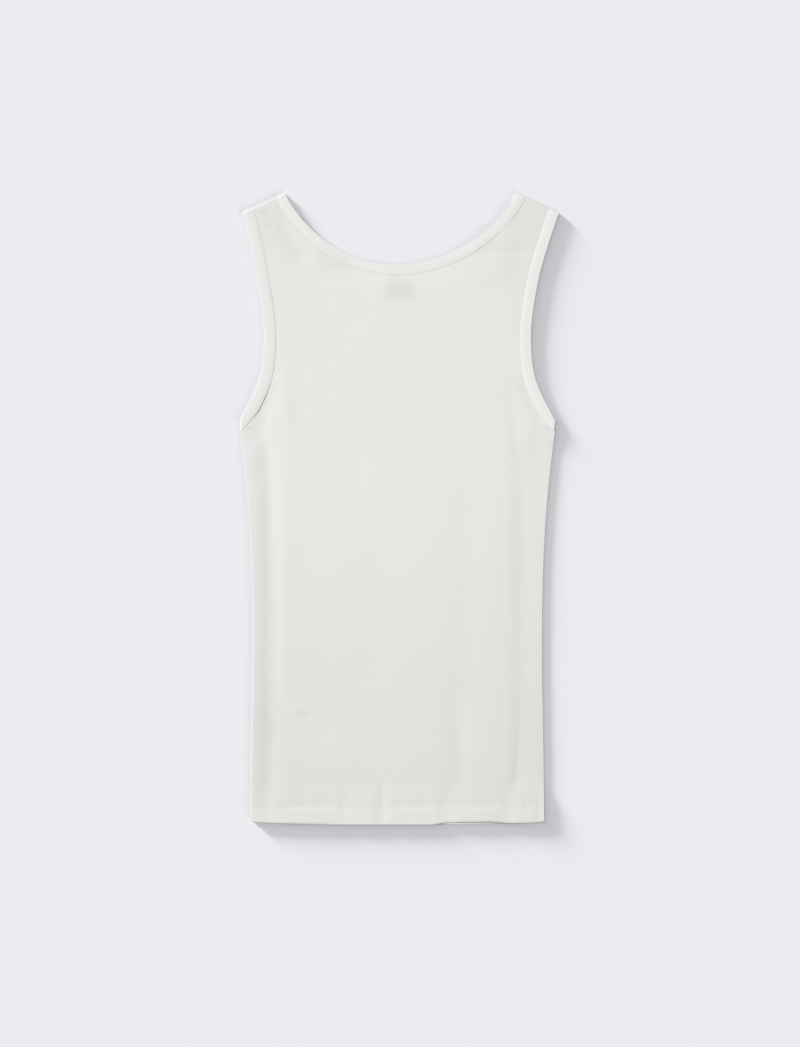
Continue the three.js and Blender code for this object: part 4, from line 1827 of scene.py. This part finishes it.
@dataclass
class NeckLabel:
    """A blank tape folded in two, hanging inside the back neck."""

    pattern: Pattern
    relief: Relief
    placement: Placement
    centre: float = 2.0
    wide: float = 33.0
    top: float = 547.0
    tall: float = 24.0
    tape: float = 0.26
    fold_radius: float = 0.19
    below_cloth: float = 0.10
    rumple: float = 0.04
    step: float = 1.5
    step_down: float = 0.55

    def build(self, material: bpy.types.Material) -> bpy.types.Object:
        """Makes the label of one strip, folded at its lower end.

        Args:
            material: Its finish.

        Returns:
            The piece.
        """
        wrap = math.pi * self.fold_radius
        reach = self.tall - self.fold_radius - self.tape / 2
        strip = 2 * reach + wrap
        sheet = np.linspace(0.0, strip, int(strip / self.step_down))
        x = np.linspace(-self.wide / 2, self.wide / 2, int(self.wide / self.step))
        across, along = np.meshgrid(x, sheet)
        turn = np.clip((along - reach) / self.fold_radius, 0.0, math.pi)
        back = np.maximum(along - reach - wrap, 0.0)
        down = np.minimum(along, reach) + self.fold_radius * np.sin(turn) - back
        px, py = (across + self.centre).ravel(), (self.top - down).ravel()
        drop = (self.fold_radius * (1 - np.cos(turn))).ravel()
        rumple = self.rumple * np.abs(soft_noise(px, py, 9.0, 7.0, 6))
        slack = (self.pattern.cloth - self.pattern.cloth_drawn) / 2
        under = self.relief.under_back(px, py) + slack
        z = under - self.below_cloth - self.tape / 2 - drop - rumple
        rows, columns = across.shape
        numbers = np.arange(rows * columns).reshape(rows, columns)
        a, b = numbers[:-1, :-1].ravel(), numbers[:-1, 1:].ravel()
        c, d = numbers[1:, 1:].ravel(), numbers[1:, :-1].ravel()
        tri = np.concatenate([np.stack([a, d, c], 1), np.stack([a, c, b], 1)])
        verts, shell, origin = closed_shell(np.column_stack([px, py, z]), tri, self.tape)
        flat = np.column_stack([across.ravel(), along.ravel()])
        piece = new_piece("folded_label", self.placement.place(verts), shell, flat[origin])
        dress(piece, material, Slot.LABEL_TAPE, "neck_label")
        return piece


@dataclass
class SideSeam:
    """The turned-in edges that join back and front down one side."""

    pattern: Pattern
    relief: Relief
    placement: Placement
    wide: float = 2.4
    bottom: float = 0.9
    bite: float = 0.16
    inside: float = 0.02
    step: float = 2.0
    sides: int = 10

    def build(self, mirror: bool, material: bpy.types.Material) -> bpy.types.Object:
        """Makes one side's seam.

        Args:
            mirror: Whether it is the left one.
            material: Its finish.

        Returns:
            The piece.
        """
        side, flip = hand(mirror)
        line = even_steps(self.pattern.side_line()[2:], self.step)
        around = np.arange(self.sides) * 2 * math.pi / self.sides
        under = (line - (self.wide / 4, 0.0)) * flip
        tops = self.relief.under_back(*under.T) + self.bite
        rings = []
        for (x, y), top in zip(line, tops):
            middle_x = x - self.wide / 2 - self.inside
            ring_x = (middle_x + self.wide / 2 * np.cos(around)) * flip[0]
            ring_z = (top + self.bottom) / 2 + (top - self.bottom) / 2 * np.sin(around)
            rings.append(np.column_stack([ring_x, np.full(self.sides, y), ring_z]))
        verts = np.concatenate(rings)
        faces = capped(rings) if mirror else [face[::-1] for face in capped(rings)]
        piece = new_piece(f"{side}_side_seam", self.placement.place(verts), faces, verts[:, :2])
        dress(piece, material, Slot.BODY_KNIT)
        return piece


# ---------------------------------------------------------------- studio


@dataclass(frozen=True)
class Lamp:
    """A large soft lamp far away, by the share of light that it gives level cloth."""

    name: str
    share: float
    elevation: float
    azimuth: float
    spread: float

    def build(self) -> bpy.types.Object:
        """Returns the lamp, shining on everything."""
        up, round_ = math.radians(self.elevation), math.radians(self.azimuth)
        sun = bpy.data.lights.new(self.name, "SUN")
        sun.energy = math.pi * self.share / math.sin(up)
        sun.angle = math.radians(self.spread)
        lamp = bpy.data.objects.new(self.name, sun)
        level = math.cos(up)
        way = Vector((math.cos(round_) * level, math.sin(round_) * level, math.sin(up)))
        lamp.rotation_mode = "QUATERNION"
        lamp.rotation_quaternion = way.to_track_quat("Z", "Y")
        lamp.location = way * 2
        bpy.context.scene.collection.objects.link(lamp)
        return lamp


@dataclass
class Studio:
    """A pale table, soft light from the upper left, and a camera straight above."""

    table_reach: float = 30.0
    table_cells: int = 4
    table_below: float = 0.0001
    view_tall: float = 1.047
    centre: tuple[float, float] = (0.00055, -0.0146)
    lens: float = 100.0
    sensor: float = 36.0
    surround: float = 0.38
    cloth_lamp: Lamp = Lamp("soft_key", 0.62, 45.0, 152.0, 14.0)
    table_lamps: tuple[Lamp, ...] = (
        Lamp("raking_key", 0.31, 7.5, 138.0, 9.0),
        Lamp("low_key", 0.06, 22.0, 138.0, 20.0),
        Lamp("low_fill", 0.13, 26.0, -45.0, 26.0),
        Lamp("high_key", 0.13, 60.0, 138.0, 20.0),
    )

    def build(self) -> None:
        """Makes the table, the light and the camera."""
        table = self._table()
        self._surround()
        self._lamps(table)
        self._camera()

    def _table(self) -> bpy.types.Object:
        """Makes the table's plain surface."""
        cells = self.table_cells
        steps = np.linspace(-self.table_reach, self.table_reach, cells + 1)
        verts = [(x, y, CAD_BOX[0][2] - self.table_below) for y in steps for x in steps]
        row_starts = range(0, cells * (cells + 1), cells + 1)
        faces = [
            (k, k + 1, k + cells + 2, k + cells + 1)
            for start in row_starts
            for k in range(start, start + cells)
        ]
        table = new_piece("table", np.array(verts), faces)
        table.data.materials.append(TableFinish().build())
        return table

    def _surround(self) -> None:
        """Makes the even white surround, and keeps colours as they are."""
        scene = bpy.context.scene
        world = bpy.data.worlds.new("even_surround")
        world.use_nodes = True
        background = world.node_tree.nodes["Background"]
        background.inputs["Color"].default_value = (1.0, 1.0, 1.0, 1.0)
        background.inputs["Strength"].default_value = self.surround
        scene.world = world
        scene.view_settings.view_transform = "Standard"
        scene.view_settings.look = "None"

    def _lamps(self, table: bpy.types.Object) -> None:
        """Makes the lamps: four that light only the table, and one that lights all but it.

        Args:
            table: The table.
        """
        only_table = bpy.data.collections.new("lit_table")
        only_table.objects.link(table)
        not_table = bpy.data.collections.new("lit_cloth")
        not_table.objects.link(table)
        not_table.collection_objects[0].light_linking.link_state = "EXCLUDE"
        for lamp in self.table_lamps:
            lamp.build().light_linking.receiver_collection = only_table
        self.cloth_lamp.build().light_linking.receiver_collection = not_table

    def _camera(self) -> None:
        """Makes the camera straight above."""
        data = bpy.data.cameras.new("overhead")
        data.lens = self.lens
        data.sensor_width = self.sensor
        camera = bpy.data.objects.new("overhead", data)
        camera.location = (*self.centre, self.view_tall * self.lens / self.sensor)
        bpy.context.scene.collection.objects.link(camera)
        bpy.context.scene.camera = camera


def main() -> None:
    """Builds the top and its setting."""
    logging.basicConfig(level=logging.INFO, format="%(message)s")
    pattern = Pattern()
    relief = Relief(pattern)
    placement = Placement(pattern)
    label = NeckLabel(pattern, relief, placement)
    shown = (label.centre, label.top - label.tall / 2, label.wide / 2, label.tall / 2)
    back_knit = KnitFinish(name="combed_cotton_knit_over_label", label=shown).build()
    front_knit = KnitFinish().build()
    band_knit = KnitFinish(
        name="combed_cotton_knit_folded_strip", colour="#EAEAE7", deeper="#E5E5E2", painted_shade_and_hem_fades=()
    ).build()
    thread = ThreadFinish().build()
    Studio().build()
    front = ClothPanel(Side.FRONT, pattern, relief, placement)
    back = ClothPanel(Side.BACK, pattern, relief, placement)
    front_piece = front.build(front_knit)
    back_piece = back.build(back_knit)
    bands = Bands(pattern, relief, placement)
    sewing = Sewing(pattern, relief, placement, back, Thread())
    sewn_on = [
        bands.neck(band_knit),
        bands.armhole(True, band_knit),
        bands.armhole(False, band_knit),
        label.build(TapeFinish().build()),
        sewing.neck(thread),
        sewing.armhole(True, thread),
        sewing.armhole(False, thread),
        sewing.hem(thread),
        sewing.label(label, thread),
    ]
    side_seam = SideSeam(pattern, relief, placement)
    seams = [side_seam.build(mirror, front_knit) for mirror in (True, False)]


if __name__ == "__main__":
    main()
